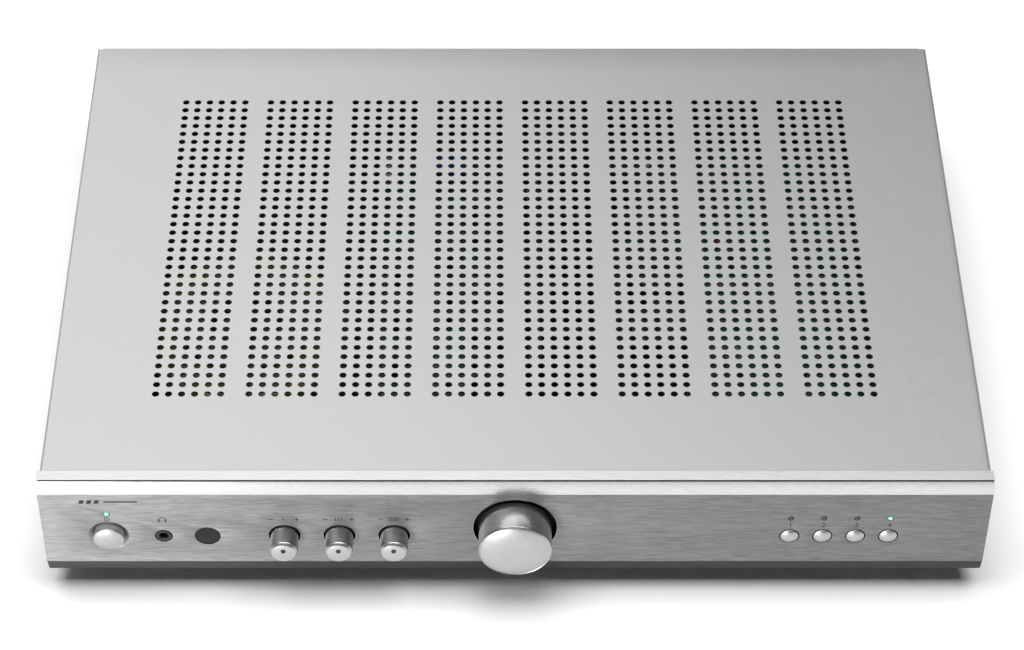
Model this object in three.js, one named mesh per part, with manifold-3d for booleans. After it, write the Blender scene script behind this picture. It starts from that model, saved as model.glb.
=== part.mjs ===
// Slim, full-width integrated amplifier, taken apart into its separate pieces.
// Millimetres. X runs to the right, Y to the back and Z up; the feet stand on Z = 0.
import * as THREE from 'three';
import { mergeVertices } from 'three/addons/utils/BufferGeometryUtils.js';
import Module from 'manifold-3d';

const wasm = await Module();
wasm.setup();

// ---------------------------------------------------------------- driving dimensions

const GAP = 0.3; // clearance left between pieces that touch on the real object
const SHEET = 1; // thickness of the folded steel sheets

// Front panel: a machined aluminium tray, open at the back.
const PANEL_HALF_WIDTH = 215;
const TOP_Z = 73;
const BASE_Z = 13;
const FACE_Y = -155;
const PANEL_BACK_Y = -146.35;
const BEVEL_DEPTH = 2.4;
const TOP_BEVEL_HEIGHT = 6.3;
const BOTTOM_BEVEL_HEIGHT = 7.9;
const GROOVE_WIDTH = 1;
const GROOVE_FLOOR_Z = TOP_Z - 1.5;
const PANEL_WALL = 4;
const PANEL_RIM = 4;

// Case sheets.
const COVER_HALF_WIDTH = 214.2;
const COVER_FRONT_Y = PANEL_BACK_Y + GAP;
const COVER_BACK_Y = 148.7;
const COVER_BEND = 1.4;
const COVER_EDGE_Z = BASE_Z + 0.6;
const COVER_LIP_HEIGHT = 13;
const PAN_Z = BASE_Z + GAP;
const PAN_TOP_Z = PAN_Z + SHEET;
const PAN_FRONT_Y = -145;
const PAN_BACK_Y = 146.1;
const PAN_HALF_WIDTH = COVER_HALF_WIDTH - SHEET - GAP;
const PAN_RIM_Z = 32;
const SHEET_HALF_WIDTH = PAN_HALF_WIDTH - SHEET - GAP;
const UPRIGHT_BOTTOM_Z = PAN_TOP_Z + GAP;
const UPRIGHT_TOP_Z = TOP_Z - SHEET - GAP;
const UPRIGHT_FOOT = 12;
const SUB_PANEL_Y = COVER_FRONT_Y;
const REAR_PANEL_BACK_Y = COVER_BACK_Y - SHEET - GAP;

// Vent field of the cover: banks of columns, each column cut as one long slot.
const VENT_BANKS = 8;
const VENT_COLUMNS = 6;
const VENT_PITCH = 6;
const VENT_BANK_PITCH = 43;
const VENT_WIDTH = 3.4;
const VENT_FRONT_Y = -98.6;
const VENT_BACK_Y = 105.4;

// Controls on the front panel, as offsets from the middle of its face.
const POWER = {
  x: -185, z: 38.7, button: 7, rimY: -2.6, tipY: -4.1, collar: 8.4, bore: 7.2, recess: 9.2, recessDepth: 2,
};
const POWER_LAMP = { x: -185, z: 53.5, radius: 1.2 };
const PHONES = { x: -160, z: 38.6, nose: 3.7, socket: 1.9 };
const SENSOR = { x: -140, z: 38.6, radius: 5.5 };
const TONE = { z: 38.6, knob: 6.4, opening: 7.25, proud: 11.5 };
const TONE_CONTROLS = [['balance', -105], ['bass', -80], ['treble', -55]];
const VOLUME = {
  x: 0, z: 44, knob: 16.6, wall: 2, crease: 16, hub: 5, opening: 19, creaseProud: 12.6, proud: 17,
};
const SOURCES = {
  x: [125, 140, 155, 170], z: 38.5, button: 4.1, rimY: -0.2, tipY: -1.5, collar: 5.6, stem: 1.8, opening: 4.4,
  lampZ: 50.6, lamp: 1.05,
};
const STEM_END = 14; // depth behind the face that every button's stem reaches
const LAMP_CLEARANCE = 0.2;
const SHAFT = 3; // radius of every potentiometer shaft
const SHAFT_BORE = SHAFT + GAP;
const TONE_SHAFT_Y = [-5.6, 16.8];
const VOLUME_SHAFT_Y = [-7.6, 20.6];
const SUB_PANEL_HOLES = { power: 4, phones: 4.2, sensor: 4, volume: 5.3, tone: 4.5, source: 2.6, lamp: 0.4 };

// Rear connectors.
const INLET = { x: -178, z: 42, halfWidth: 12.2, halfHeight: 8.2, depth: 16 };
const POSTS = { x: [-83, -61, -29, -7], z: 42, stud: 3, cap: 7, capFront: 152.6, capBack: 172 };
const JACKS = { x: [85, 115, 145, 175], z: [33.5, 50.5], shell: 4.1, socket: 1.6 };
const GROUND = { x: 55, z: 33.5 };
const REAR_OPENINGS = { inletHalfWidth: 14, inletHalfHeight: 10.2, posts: 9, jack: 5.7, ground: 2.1 };

// Inside.
const BOARD = 1.6; // thickness of a circuit board
const MAIN_BOARD = { x: [-66, 198], y: [-100, 125], z: 22 };
const BOARD_TOP_Z = MAIN_BOARD.z + BOARD;
const ON_BOARD_Z = BOARD_TOP_Z + GAP;
const TOROID = { x: -128, y: -38, z: 16, outer: 52, inner: 17, height: 42, round: 7 };
const BOARD_SCREW_X = [MAIN_BOARD.x[0] + 12, 70, MAIN_BOARD.x[1] - 12];
const BOARD_SCREW_Y = [MAIN_BOARD.y[0] + 12, MAIN_BOARD.y[1] - 12];
const TRANSISTOR_Y = [-50, -20, 60, 90];
const CAPACITOR = { x: 70, y: [-45, -7], radius: 15, height: 42 };
const RECTIFIER_Y = 35;
const RELAY = { x: [-50, -21], y: [92, 105], height: 16 };
const TONE_BOARD = { x: [-120, -40], y: [-144.4, -108] };
const PAN_SLOTS = { x: -18, count: 11, pitch: 8, width: 3, y: [-60, 20], length: 40 };
const PAN_FITTINGS = { boss: 4, weldNut: 7, weldNutTop: 21, footScrew: 2.4, sideScrew: 1.9 };
const HEAT_SINK = { x: 8, base: 5, fin: 27, finThickness: 2, fins: 19, pitch: 10, y: -71, height: 42 };
const FEET = [['front_left', -165, -115], ['front_right', 165, -115],
  ['rear_left', -165, 115], ['rear_right', 165, 115]];
const SIDE_SCREW_Y = 100;
const SIDE_SCREW_Z = 24;

// ---------------------------------------------------------------- solids

// A closed three.js geometry becomes a solid that can be joined and cut.
function solid(geometry) {
  const bare = geometry.clone();
  bare.deleteAttribute('normal');
  bare.deleteAttribute('uv');
  const welded = mergeVertices(bare, 1e-4);
  return new wasm.Manifold(new wasm.Mesh({
    numProp: 3,
    vertProperties: welded.attributes.position.array,
    triVerts: new Uint32Array(welded.index.array),
  }));
}

function geometryOf(manifold) {
  const mesh = manifold.getMesh();
  const geometry = new THREE.BufferGeometry();
  geometry.setAttribute('position', new THREE.BufferAttribute(mesh.vertProperties, 3));
  geometry.setIndex(new THREE.BufferAttribute(mesh.triVerts, 1));
  geometry.computeVertexNormals();
  return geometry;
}

function join(first, ...others) {
  return geometryOf(others.reduce((sum, other) => sum.add(solid(other)), solid(first)));
}

function cut(first, ...tools) {
  return geometryOf(tools.reduce((rest, tool) => rest.subtract(solid(tool)), solid(first)));
}

// A box between two limits along each axis.
function block([x0, x1], [y0, y1], [z0, z1]) {
  const box = new THREE.BoxGeometry(x1 - x0, y1 - y0, z1 - z0);
  return box.translate((x0 + x1) / 2, (y0 + y1) / 2, (z0 + z1) / 2);
}

// A box centred on the Y axis line, given by its half width and half height.
function centredBlock(halfWidth, y, halfHeight) {
  return block([-halfWidth, halfWidth], y, [-halfHeight, halfHeight]);
}

// A shape turned about the Y axis; the profile lists [radius, y] from the front.
function turned(profile, segments = 24) {
  return new THREE.LatheGeometry(profile.map(([r, y]) => new THREE.Vector2(r, y)), segments);
}

// A round bar along Y.
function bar(radius, [y0, y1], segments = 24) {
  return turned([[0, y0], [radius, y0], [radius, y1], [0, y1]], segments);
}

// Stands a shape that was made along Y upright, along Z.
function upright(geometry) {
  return geometry.rotateX(Math.PI / 2);
}

function at(geometry, x, y, z) {
  return geometry.translate(x, y, z);
}

function outline(points) {
  return new THREE.Shape(points.map(([a, b]) => new THREE.Vector2(a, b)));
}

// An outline of [y, z] points swept along X.
function alongX(points, [x0, x1]) {
  const sweep = new THREE.ExtrudeGeometry(outline(points), { depth: x1 - x0, bevelEnabled: false });
  const turn = new THREE.Matrix4().makeBasis(
    new THREE.Vector3(0, 1, 0), new THREE.Vector3(0, 0, 1), new THREE.Vector3(1, 0, 0));
  return sweep.applyMatrix4(turn).translate(x0, 0, 0);
}

// An outline of [x, z] points swept along Y.
function alongY(points, [y0, y1]) {
  const sweep = new THREE.ExtrudeGeometry(outline(points), { depth: y1 - y0, bevelEnabled: false });
  return upright(sweep).translate(0, y1, 0);
}

// An outline of [x, y] points swept along Z.
function alongZ(points, [z0, z1]) {
  const sweep = new THREE.ExtrudeGeometry(outline(points), { depth: z1 - z0, bevelEnabled: false });
  return sweep.translate(0, 0, z0);
}

// Points on an arc about a centre, from one angle to another, in degrees.
function arc(centreA, centreB, radius, from, to, steps) {
  const points = [];
  for (let i = 0; i <= steps; i += 1) {
    const angle = THREE.MathUtils.degToRad(from + (to - from) * i / steps);
    points.push([centreA + radius * Math.cos(angle), centreB + radius * Math.sin(angle)]);
  }
  return points;
}

// A shallow dome's profile, from its tip on the axis out to its rim.
function dome(rimRadius, tipY, rimY, steps) {
  const rise = rimY - tipY;
  const radius = (rimRadius ** 2 + rise ** 2) / (2 * rise);
  const sweep = THREE.MathUtils.radToDeg(Math.asin(rimRadius / radius));
  const points = arc(0, tipY + radius, radius, -90, -90 + sweep, steps);
  points[0][0] = 0;
  return points;
}

// ---------------------------------------------------------------- the scene graph

const amplifier = new THREE.Group();

const FINISH = {
  brushedAluminium: { color: 0xb9babb, roughness: 0.38, metalness: 0.9 },
  satinAluminium: { color: 0xc8c9ca, roughness: 0.3, metalness: 0.9 },
  silverPaint: { color: 0xc4c4c4, roughness: 0.45, metalness: 0.5 },
  blackSteel: { color: 0x17181a, roughness: 0.55, metalness: 0.3 },
  zincSteel: { color: 0x9fa3a6, roughness: 0.4, metalness: 0.8 },
  blackPlastic: { color: 0x141414, roughness: 0.5, metalness: 0 },
  smokedPlastic: { color: 0x3a3a3c, roughness: 0.2, metalness: 0 },
  rubber: { color: 0x1c1c1c, roughness: 0.85, metalness: 0 },
  clearLamp: { color: 0x8fd8cf, roughness: 0.2, metalness: 0 },
  darkLamp: { color: 0x4c4e50, roughness: 0.25, metalness: 0 },
  circuitBoard: { color: 0x1d4a33, roughness: 0.5, metalness: 0 },
  windingTape: { color: 0xc9a23c, roughness: 0.45, metalness: 0 },
  sleeve: { color: 0x20262e, roughness: 0.35, metalness: 0 },
  relayCase: { color: 0x2a5f9e, roughness: 0.3, metalness: 0 },
  goldPlate: { color: 0xc9a24e, roughness: 0.25, metalness: 1 },
};

function add(name, geometry, finish, x = 0, y = 0, z = 0) {
  const mesh = new THREE.Mesh(geometry, new THREE.MeshStandardMaterial(finish));
  mesh.name = name;
  mesh.position.set(x, y, z);
  amplifier.add(mesh);
}

// ---------------------------------------------------------------- case

function frontPanel() {
  const grooveFront = FACE_Y + BEVEL_DEPTH;
  const grooveBack = grooveFront + GROOVE_WIDTH;
  const section = [
    [FACE_Y, BASE_Z + BOTTOM_BEVEL_HEIGHT],
    [FACE_Y + BEVEL_DEPTH, BASE_Z],
    [PANEL_BACK_Y, BASE_Z],
    [PANEL_BACK_Y, TOP_Z],
    [grooveBack, TOP_Z],
    [grooveBack, GROOVE_FLOOR_Z],
    [grooveFront, GROOVE_FLOOR_Z],
    [grooveFront, TOP_Z],
    [FACE_Y, TOP_Z - TOP_BEVEL_HEIGHT],
  ];
  const tray = cut(
    alongX(section, [-PANEL_HALF_WIDTH, PANEL_HALF_WIDTH]),
    block(
      [-PANEL_HALF_WIDTH + PANEL_RIM, PANEL_HALF_WIDTH - PANEL_RIM],
      [FACE_Y + PANEL_WALL, PANEL_BACK_Y + 1],
      [BASE_Z + PANEL_RIM, TOP_Z - PANEL_RIM],
    ),
  );
  const through = [FACE_Y - 1, FACE_Y + PANEL_WALL + 1];
  const recess = turned([
    [0, -1],
    [POWER.recess + 1, -1],
    [POWER.recess, 0],
    [POWER.bore, POWER.recessDepth],
    [0, POWER.recessDepth],
  ], 28);
  const holes = [
    at(recess, POWER.x, FACE_Y, POWER.z),
    at(bar(POWER.bore, through, 28), POWER.x, 0, POWER.z),
    at(bar(POWER_LAMP.radius + LAMP_CLEARANCE, through, 8), POWER_LAMP.x, 0, POWER_LAMP.z),
    at(bar(PHONES.nose + LAMP_CLEARANCE, through, 16), PHONES.x, 0, PHONES.z),
    at(bar(SENSOR.radius + 0.15, through, 20), SENSOR.x, 0, SENSOR.z),
    at(bar(VOLUME.opening, through, 36), VOLUME.x, 0, VOLUME.z),
  ];
  for (const [, x] of TONE_CONTROLS) {
    holes.push(at(bar(TONE.opening, through, 20), x, 0, TONE.z));
  }
  for (const x of SOURCES.x) {
    holes.push(at(bar(SOURCES.opening, through, 16), x, 0, SOURCES.z));
    holes.push(at(bar(SOURCES.lamp + LAMP_CLEARANCE, through, 8), x, 0, SOURCES.lampZ));
  }
  return cut(tray, ...holes);
}

// Steel sheet behind the front panel; the controls' bushes and stems pass through it.
function subPanel() {
  const y = [SUB_PANEL_Y, SUB_PANEL_Y + SHEET];
  const width = [-SHEET_HALF_WIDTH, SHEET_HALF_WIDTH];
  const sheet = join(
    block(width, y, [UPRIGHT_BOTTOM_Z, UPRIGHT_TOP_Z]),
    block(width, [y[0], y[0] + UPRIGHT_FOOT], [UPRIGHT_BOTTOM_Z, UPRIGHT_BOTTOM_Z + SHEET]),
  );
  const through = [y[0] - 1, y[1] + 1];
  const holes = [
    at(bar(SUB_PANEL_HOLES.power, through, 12), POWER.x, 0, POWER.z),
    at(bar(POWER_LAMP.radius + SUB_PANEL_HOLES.lamp, through, 8), POWER_LAMP.x, 0, POWER_LAMP.z),
    at(bar(SUB_PANEL_HOLES.phones, through, 12), PHONES.x, 0, PHONES.z),
    at(bar(SUB_PANEL_HOLES.sensor, through, 12), SENSOR.x, 0, SENSOR.z),
    at(bar(SUB_PANEL_HOLES.volume, through, 12), VOLUME.x, 0, VOLUME.z),
  ];
  for (const [, x] of TONE_CONTROLS) {
    holes.push(at(bar(SUB_PANEL_HOLES.tone, through, 12), x, 0, TONE.z));
  }
  for (const x of SOURCES.x) {
    holes.push(at(bar(SUB_PANEL_HOLES.source, through, 10), x, 0, SOURCES.z));
    holes.push(at(bar(SOURCES.lamp + SUB_PANEL_HOLES.lamp, through, 8), x, 0, SOURCES.lampZ));
  }
  return cut(sheet, ...holes);
}

// Bottom tray: side rims for the cover's screws, bosses for the main board, vent slots.
function chassisPan() {
  const length = [PAN_FRONT_Y, PAN_BACK_Y];
  const inner = PAN_HALF_WIDTH - SHEET;
  const section = [
    [-PAN_HALF_WIDTH, PAN_Z], [PAN_HALF_WIDTH, PAN_Z], [PAN_HALF_WIDTH, PAN_RIM_Z],
    [inner, PAN_RIM_Z], [inner, PAN_TOP_Z], [-inner, PAN_TOP_Z],
    [-inner, PAN_RIM_Z], [-PAN_HALF_WIDTH, PAN_RIM_Z],
  ];
  const { boss, weldNut, weldNutTop, footScrew, sideScrew } = PAN_FITTINGS;
  const insideSheet = PAN_Z + SHEET / 2;
  const bosses = BOARD_SCREW_X.flatMap((x) => BOARD_SCREW_Y.map(
    (y) => at(upright(bar(boss, [insideSheet, MAIN_BOARD.z - GAP], 8)), x, y, 0)));
  const nut = at(upright(bar(weldNut, [insideSheet, weldNutTop], 6)), TOROID.x, TOROID.y, 0);
  const tray = join(alongY(section, length), ...bosses, nut);
  const through = [PAN_Z - 1, PAN_TOP_Z + 1];
  const nutBore = bar(SHAFT_BORE, [PAN_Z - 1, weldNutTop + 1], 12);
  const openings = [at(upright(nutBore), TOROID.x, TOROID.y, 0)];
  for (const [, x, y] of FEET) {
    openings.push(at(upright(bar(footScrew, through, 8)), x, y, 0));
  }
  for (const side of [-1, 1]) {
    for (const y of [-SIDE_SCREW_Y, SIDE_SCREW_Y]) {
      const hole = bar(sideScrew, [-2 * SHEET, 2 * SHEET], 8).rotateZ(Math.PI / 2);
      openings.push(at(hole, side * (PAN_HALF_WIDTH - SHEET / 2), y, SIDE_SCREW_Z));
    }
  }
  for (let i = 0; i < PAN_SLOTS.count; i += 1) {
    const x = PAN_SLOTS.x + PAN_SLOTS.pitch * i;
    for (const y of PAN_SLOTS.y) {
      openings.push(block([x, x + PAN_SLOTS.width], [y, y + PAN_SLOTS.length], through));
    }
  }
  return cut(tray, ...openings);
}

function rearPanel() {
  const { inletHalfWidth, inletHalfHeight, posts, jack, ground } = REAR_OPENINGS;
  const y = [REAR_PANEL_BACK_Y - SHEET, REAR_PANEL_BACK_Y];
  const width = [-SHEET_HALF_WIDTH, SHEET_HALF_WIDTH];
  const sheet = join(
    block(width, y, [UPRIGHT_BOTTOM_Z, UPRIGHT_TOP_Z]),
    block(width, [y[1] - UPRIGHT_FOOT, y[1]], [UPRIGHT_BOTTOM_Z, UPRIGHT_BOTTOM_Z + SHEET]),
  );
  const through = [y[0] - 1, y[1] + 1];
  const holes = [
    at(centredBlock(inletHalfWidth, through, inletHalfHeight), INLET.x, 0, INLET.z),
    block([POSTS.x[0] - posts, POSTS.x[3] + posts], through, [POSTS.z - posts, POSTS.z + posts]),
    at(bar(ground, through, 10), GROUND.x, 0, GROUND.z),
  ];
  for (const x of JACKS.x) {
    for (const z of JACKS.z) {
      holes.push(at(bar(jack, through, 12), x, 0, z));
    }
  }
  return cut(sheet, ...holes);
}

// Folded cover: top sheet, two sides and a short lip over the rear panel.
function topCover() {
  const w = COVER_HALF_WIDTH;
  const centre = w - COVER_BEND;
  const innerBend = COVER_BEND - SHEET;
  const bendZ = TOP_Z - COVER_BEND;
  const steps = 4;
  const section = [
    [w, COVER_EDGE_Z],
    ...arc(centre, bendZ, COVER_BEND, 0, 90, steps),
    ...arc(-centre, bendZ, COVER_BEND, 90, 180, steps),
    [-w, COVER_EDGE_Z],
    [-w + SHEET, COVER_EDGE_Z],
    ...arc(-centre, bendZ, innerBend, 180, 90, 2),
    ...arc(centre, bendZ, innerBend, 90, 0, 2),
    [w - SHEET, COVER_EDGE_Z],
  ];
  const lipWidth = [-w + COVER_BEND, w - COVER_BEND];
  const folded = join(
    alongY(section, [COVER_FRONT_Y, COVER_BACK_Y]),
    block(lipWidth, [COVER_BACK_Y - SHEET, COVER_BACK_Y], [TOP_Z - COVER_LIP_HEIGHT, TOP_Z - SHEET / 2]),
  );
  const openings = [];
  const half = VENT_WIDTH / 2;
  for (let bank = 0; bank < VENT_BANKS; bank += 1) {
    const bankX = (bank - (VENT_BANKS - 1) / 2) * VENT_BANK_PITCH;
    for (let column = 0; column < VENT_COLUMNS; column += 1) {
      const x = bankX + (column - (VENT_COLUMNS - 1) / 2) * VENT_PITCH;
      openings.push(block(
        [x - half, x + half], [VENT_FRONT_Y - half, VENT_BACK_Y + half], [TOP_Z - 2, TOP_Z + 1]));
    }
  }
  for (const side of [-1, 1]) {
    for (const y of [-SIDE_SCREW_Y, SIDE_SCREW_Y]) {
      const hole = turned([[0, -1], [2.3, -1], [2.3, 0], [3.9, SHEET], [3.9, 2], [0, 2]], 12);
      hole.rotateZ(side * -Math.PI / 2);
      openings.push(at(hole, side * (w - SHEET), y, SIDE_SCREW_Z));
    }
  }
  return cut(folded, ...openings);
}

// Flat-headed screw that holds the cover to the pan's rim; its axis is X.
function coverScrew(side) {
  const screw = turned([
    [0, -9], [1.5, -9], [1.5, 0], [1.9, 0], [3.4, SHEET + 0.2], [0, SHEET + 0.2],
  ], 12);
  return screw.rotateZ(side * -Math.PI / 2);
}

// Moulded foot with its fixing screw.
function foot() {
  return upright(turned([
    [0, 0], [17, 0], [20, BASE_Z], [2, BASE_Z], [2, BASE_Z + 7], [0, BASE_Z + 7],
  ], 20));
}

// ---------------------------------------------------------------- front controls

// Hollow volume knob; its hub slides over the shaft.
function volumeKnob() {
  return turned([
    ...dome(VOLUME.crease, -VOLUME.proud, -VOLUME.creaseProud, 3),
    [VOLUME.knob, 3], [VOLUME.knob - VOLUME.wall, 3], [VOLUME.knob - VOLUME.wall, -11],
    [VOLUME.hub, -11], [VOLUME.hub, 2.5],
    [SHAFT_BORE, 2.5], [SHAFT_BORE, -8], [0, -8],
  ], 36);
}

// Tone knob, with a small dimple above the middle of its end as its pointer.
function toneKnob() {
  const edge = 1.8;
  const body = turned([
    ...dome(TONE.knob - edge, -TONE.proud, -TONE.proud + 0.6, 2),
    ...arc(TONE.knob - edge, -TONE.proud + 0.6 + edge, edge, -60, 0, 2),
    [TONE.knob, 3], [SHAFT_BORE, 3], [SHAFT_BORE, -6], [0, -6],
  ], 20);
  const dimple = turned([[0, -1], [1, -1], [1, 0], [0.05, 0.8], [0, 0.8]], 8);
  return cut(body, at(dimple, 0, -TONE.proud, 1.8));
}

function shaft(length) {
  return bar(SHAFT, length, 16);
}

// Push button: domed cap, a collar that keeps it behind the panel, and a stem.
function pushButton({ button, rimY, tipY, collar }, stem, segments) {
  const collarFront = PANEL_WALL + GAP;
  return turned([
    ...dome(button, tipY, rimY, 2),
    [button, collarFront], [collar, collarFront], [collar, collarFront + 1],
    [stem, collarFront + 1], [stem, STEM_END], [0, STEM_END],
  ], segments);
}

// Light guide from a lamp on the board behind to the front face.
function lightGuide(radius, end) {
  return turned([[0, -0.25], [radius, 0], [radius, end], [0, end]], 8);
}

function headphoneJack() {
  const body = join(
    bar(PHONES.nose, [-0.2, 12], 16),
    centredBlock(6, [10.5, 25], 6),
  );
  return cut(body, bar(PHONES.socket, [-1, 18], 12));
}

// Smoked window of the remote-control receiver, with a glued flange behind the panel.
function sensorWindow() {
  const flange = PANEL_WALL + GAP;
  return turned([
    [0, 0.1], [SENSOR.radius, 0.1], [SENSOR.radius, flange],
    [SENSOR.radius + 1.8, flange], [SENSOR.radius + 1.8, flange + 1.4], [0, flange + 1.4],
  ], 20);
}

const BEHIND_SUB_PANEL = SUB_PANEL_Y + SHEET + GAP - FACE_Y;

function tonePotentiometer() {
  const front = BEHIND_SUB_PANEL;
  const body = join(
    centredBlock(8.5, [front, front + 11], 8.5),
    bar(3.95, [5, front + 1], 12),
  );
  return cut(body, bar(SHAFT_BORE, [4, 17.2], 16));
}

// Motor-driven volume potentiometer: element, gearbox and motor in one unit.
function volumePotentiometer() {
  const front = BEHIND_SUB_PANEL;
  const element = front + 25;
  const gearbox = element + 10;
  const body = join(
    centredBlock(13.5, [front, element + 1], 13.5),
    block([-13.5, 13.5], [element, gearbox], [-13.5, 19]),
    at(bar(10.5, [gearbox - 1, gearbox + 25], 16), 0, 0, 7),
    bar(4.8, [5, front + 1], 12),
  );
  return cut(body, bar(SHAFT_BORE, [4, 21], 16));
}

function powerSwitch() {
  const front = BEHIND_SUB_PANEL;
  const body = join(
    centredBlock(9, [front, front + 34], 9),
    block([-6, -2], [front + 33, front + 41], [-0.6, 0.6]),
    block([2, 6], [front + 33, front + 41], [-0.6, 0.6]),
  );
  return cut(body, bar(3.5, [front - 1, 18.5], 12));
}

// Upright board that carries one tact switch behind each source button.
function sourceBoard() {
  const plungerFront = 14.9;
  const bodyFront = 15.5;
  const boardFront = 19;
  const middle = (SOURCES.x[0] + SOURCES.x[3]) / 2;
  const board = block([middle - 38, middle + 38], [boardFront, boardFront + BOARD], [28, 60]);
  const switches = SOURCES.x.flatMap((x) => [
    block([x - 3, x + 3], [bodyFront, boardFront + 0.5], [SOURCES.z - 3, SOURCES.z + 3]),
    at(bar(1.7, [plungerFront, bodyFront + 1], 8), x, 0, SOURCES.z),
  ]);
  return join(board, ...switches);
}

// ---------------------------------------------------------------- rear connectors

// Chassis-mounted appliance inlet: flange, shell, shrouded cavity and three blades.
function mainsInlet() {
  const { halfWidth: w, halfHeight: h, depth } = INLET;
  const flangeFront = REAR_PANEL_BACK_Y + GAP;
  const mouth = flangeFront + 2.6;
  const shell = join(
    centredBlock(25, [flangeFront, mouth], 12),
    centredBlock(13.6, [mouth - depth - 3, flangeFront + 1], 9.8),
  );
  const corner = 4.5;
  const cavity = alongY(
    [[-w, -h], [w, -h], [w, h - corner], [w - corner, h], [-w + corner, h], [-w, h - corner]],
    [mouth - depth, mouth + 1],
  );
  const blade = (x, z) => block([x - 1, x + 1], [mouth - depth - 1, mouth - 2], [z - 2, z + 2]);
  const terminal = (x, z) => block(
    [x - 0.5, x + 0.5], [mouth - depth - 12, mouth - depth - 2], [z - 3, z + 3]);
  const screwHole = (x) => at(bar(1.7, [flangeFront - 1, mouth + 1], 8), x, 0, 0);
  const contacts = [[-7, -2], [0, 2], [7, -2]];
  return join(
    cut(shell, cavity, screwHole(-20), screwHole(20)),
    ...contacts.map(([x, z]) => blade(x, z)),
    ...contacts.map(([x, z]) => terminal(x, z)),
  );
}

// Moulded carrier with four threaded studs; each stud takes a 4 mm plug in its end.
function speakerTerminals() {
  const front = REAR_PANEL_BACK_Y + GAP;
  const back = front + 2.5;
  const plate = block([POSTS.x[0] - 14, POSTS.x[3] + 14], [front, back], [-14, 14]);
  const insert = block([POSTS.x[0] - 8.7, POSTS.x[3] + 8.7], [front - 10, front + 1], [-8.7, 8.7]);
  const studs = POSTS.x.map((x) => at(turned([
    [0, front], [5.5, front], [5.5, back + 1.5], [POSTS.stud, back + 1.5],
    [POSTS.stud, 168], [2, 168], [2, 156], [0, 156],
  ], 12), x, 0, 0));
  return join(plate, insert, ...studs);
}

// Screw cap of a speaker terminal; its end lets a 4 mm plug into the stud.
function terminalCap() {
  const { cap, capFront, capBack, stud } = POSTS;
  const bore = stud + GAP;
  return turned([
    [bore, capFront], [cap - 1.5, capFront], [cap - 1.5, capFront + 2], [cap, capFront + 3],
    [cap, capBack - 1], [cap - 1, capBack], [2.2, capBack], [2.2, 168.5], [bore, 168.5], [bore, capFront],
  ], 16);
}

// Row of phono sockets in pairs, one pair for each source.
function inputJacks() {
  const back = REAR_PANEL_BACK_Y;
  const housing = block(
    [JACKS.x[0] - 12, JACKS.x[3] + 12],
    [back - SHEET - GAP - 14, back - SHEET - GAP],
    [24, 60],
  );
  const sockets = JACKS.x.flatMap((x) => JACKS.z.map((z) => at(turned([
    [0, back - 5], [5.3, back - 5], [5.3, back + 1.2], [JACKS.shell, back + 1.2],
    [JACKS.shell, back + 10], [JACKS.socket, back + 10], [JACKS.socket, back + 1], [0, back + 1],
  ], 12), x, 0, z)));
  return join(housing, ...sockets);
}

// Thumb screw for the turntable's ground lead.
function groundScrew() {
  const back = REAR_PANEL_BACK_Y;
  return turned([
    [0, back - 8], [1.7, back - 8], [1.7, back + 2.2], [5, back + 2.2],
    [5, back + 9], [0, back + 9],
  ], 16);
}

// ---------------------------------------------------------------- inside

function mainBoard() {
  const { x, y, z } = MAIN_BOARD;
  const screwHoles = BOARD_SCREW_X.flatMap((screwX) => BOARD_SCREW_Y.map(
    (screwY) => at(upright(bar(1.7, [z - 1, z + BOARD + 1], 8)), screwX, screwY, 0)));
  return cut(block(x, y, [z, z + BOARD]), ...screwHoles);
}

function toroidalTransformer() {
  const { outer, inner, height, round } = TOROID;
  const section = [
    ...arc(inner + round, round, round, 180, 270, 2),
    ...arc(outer - round, round, round, 270, 360, 2),
    ...arc(outer - round, height - round, round, 0, 90, 2),
    ...arc(inner + round, height - round, round, 90, 180, 2),
  ];
  return upright(turned([...section, section[0]], 28));
}

// Dished washer and the long screw that draw the transformer down on the pan.
function transformerClamp() {
  const top = TOROID.height + GAP;
  return upright(turned([
    [0, -0.5], [SHAFT, -0.5], [SHAFT, top - 6], [14, top - 6], [18, top], [32, top],
    [32, top + 2], [17, top + 2], [13, top - 4], [6, top - 4], [6, top + 1], [0, top + 1],
  ], 16));
}

// Extruded heat sink: an upright base plate with fins on its right-hand side.
function heatSink() {
  const { x, base, fin, finThickness, fins, pitch, y } = HEAT_SINK;
  const points = [[x, y]];
  for (let i = 0; i < fins; i += 1) {
    const start = y + i * pitch;
    if (i > 0) {
      points.push([x + base, start]);
    }
    points.push([x + base + fin, start]);
    points.push([x + base + fin, start + finThickness], [x + base, start + finThickness]);
  }
  points.push([x, y + (fins - 1) * pitch + finThickness]);
  return alongZ(points, [ON_BOARD_Z, ON_BOARD_Z + HEAT_SINK.height]);
}

// Power transistor: moulded body on three legs, its back against the heat sink.
function outputTransistor() {
  const legs = [-5.4, 0, 5.4].map((y) => block([-3.2, -2.2], [y - 0.6, y + 0.6], [0, 9]));
  return join(block([-5, 0], [-7.8, 7.8], [8, 28]), ...legs);
}

function reservoirCapacitor() {
  return upright(bar(CAPACITOR.radius, [0, CAPACITOR.height], 20));
}

function bridgeRectifier() {
  const legs = [-7.5, -2.5, 2.5, 7.5].map((y) => block([-0.5, 0.5], [y - 0.6, y + 0.6], [0, 6]));
  return join(block([-2.3, 2.3], [-11, 11], [5, 23]), ...legs);
}

// ---------------------------------------------------------------- assembly

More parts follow.
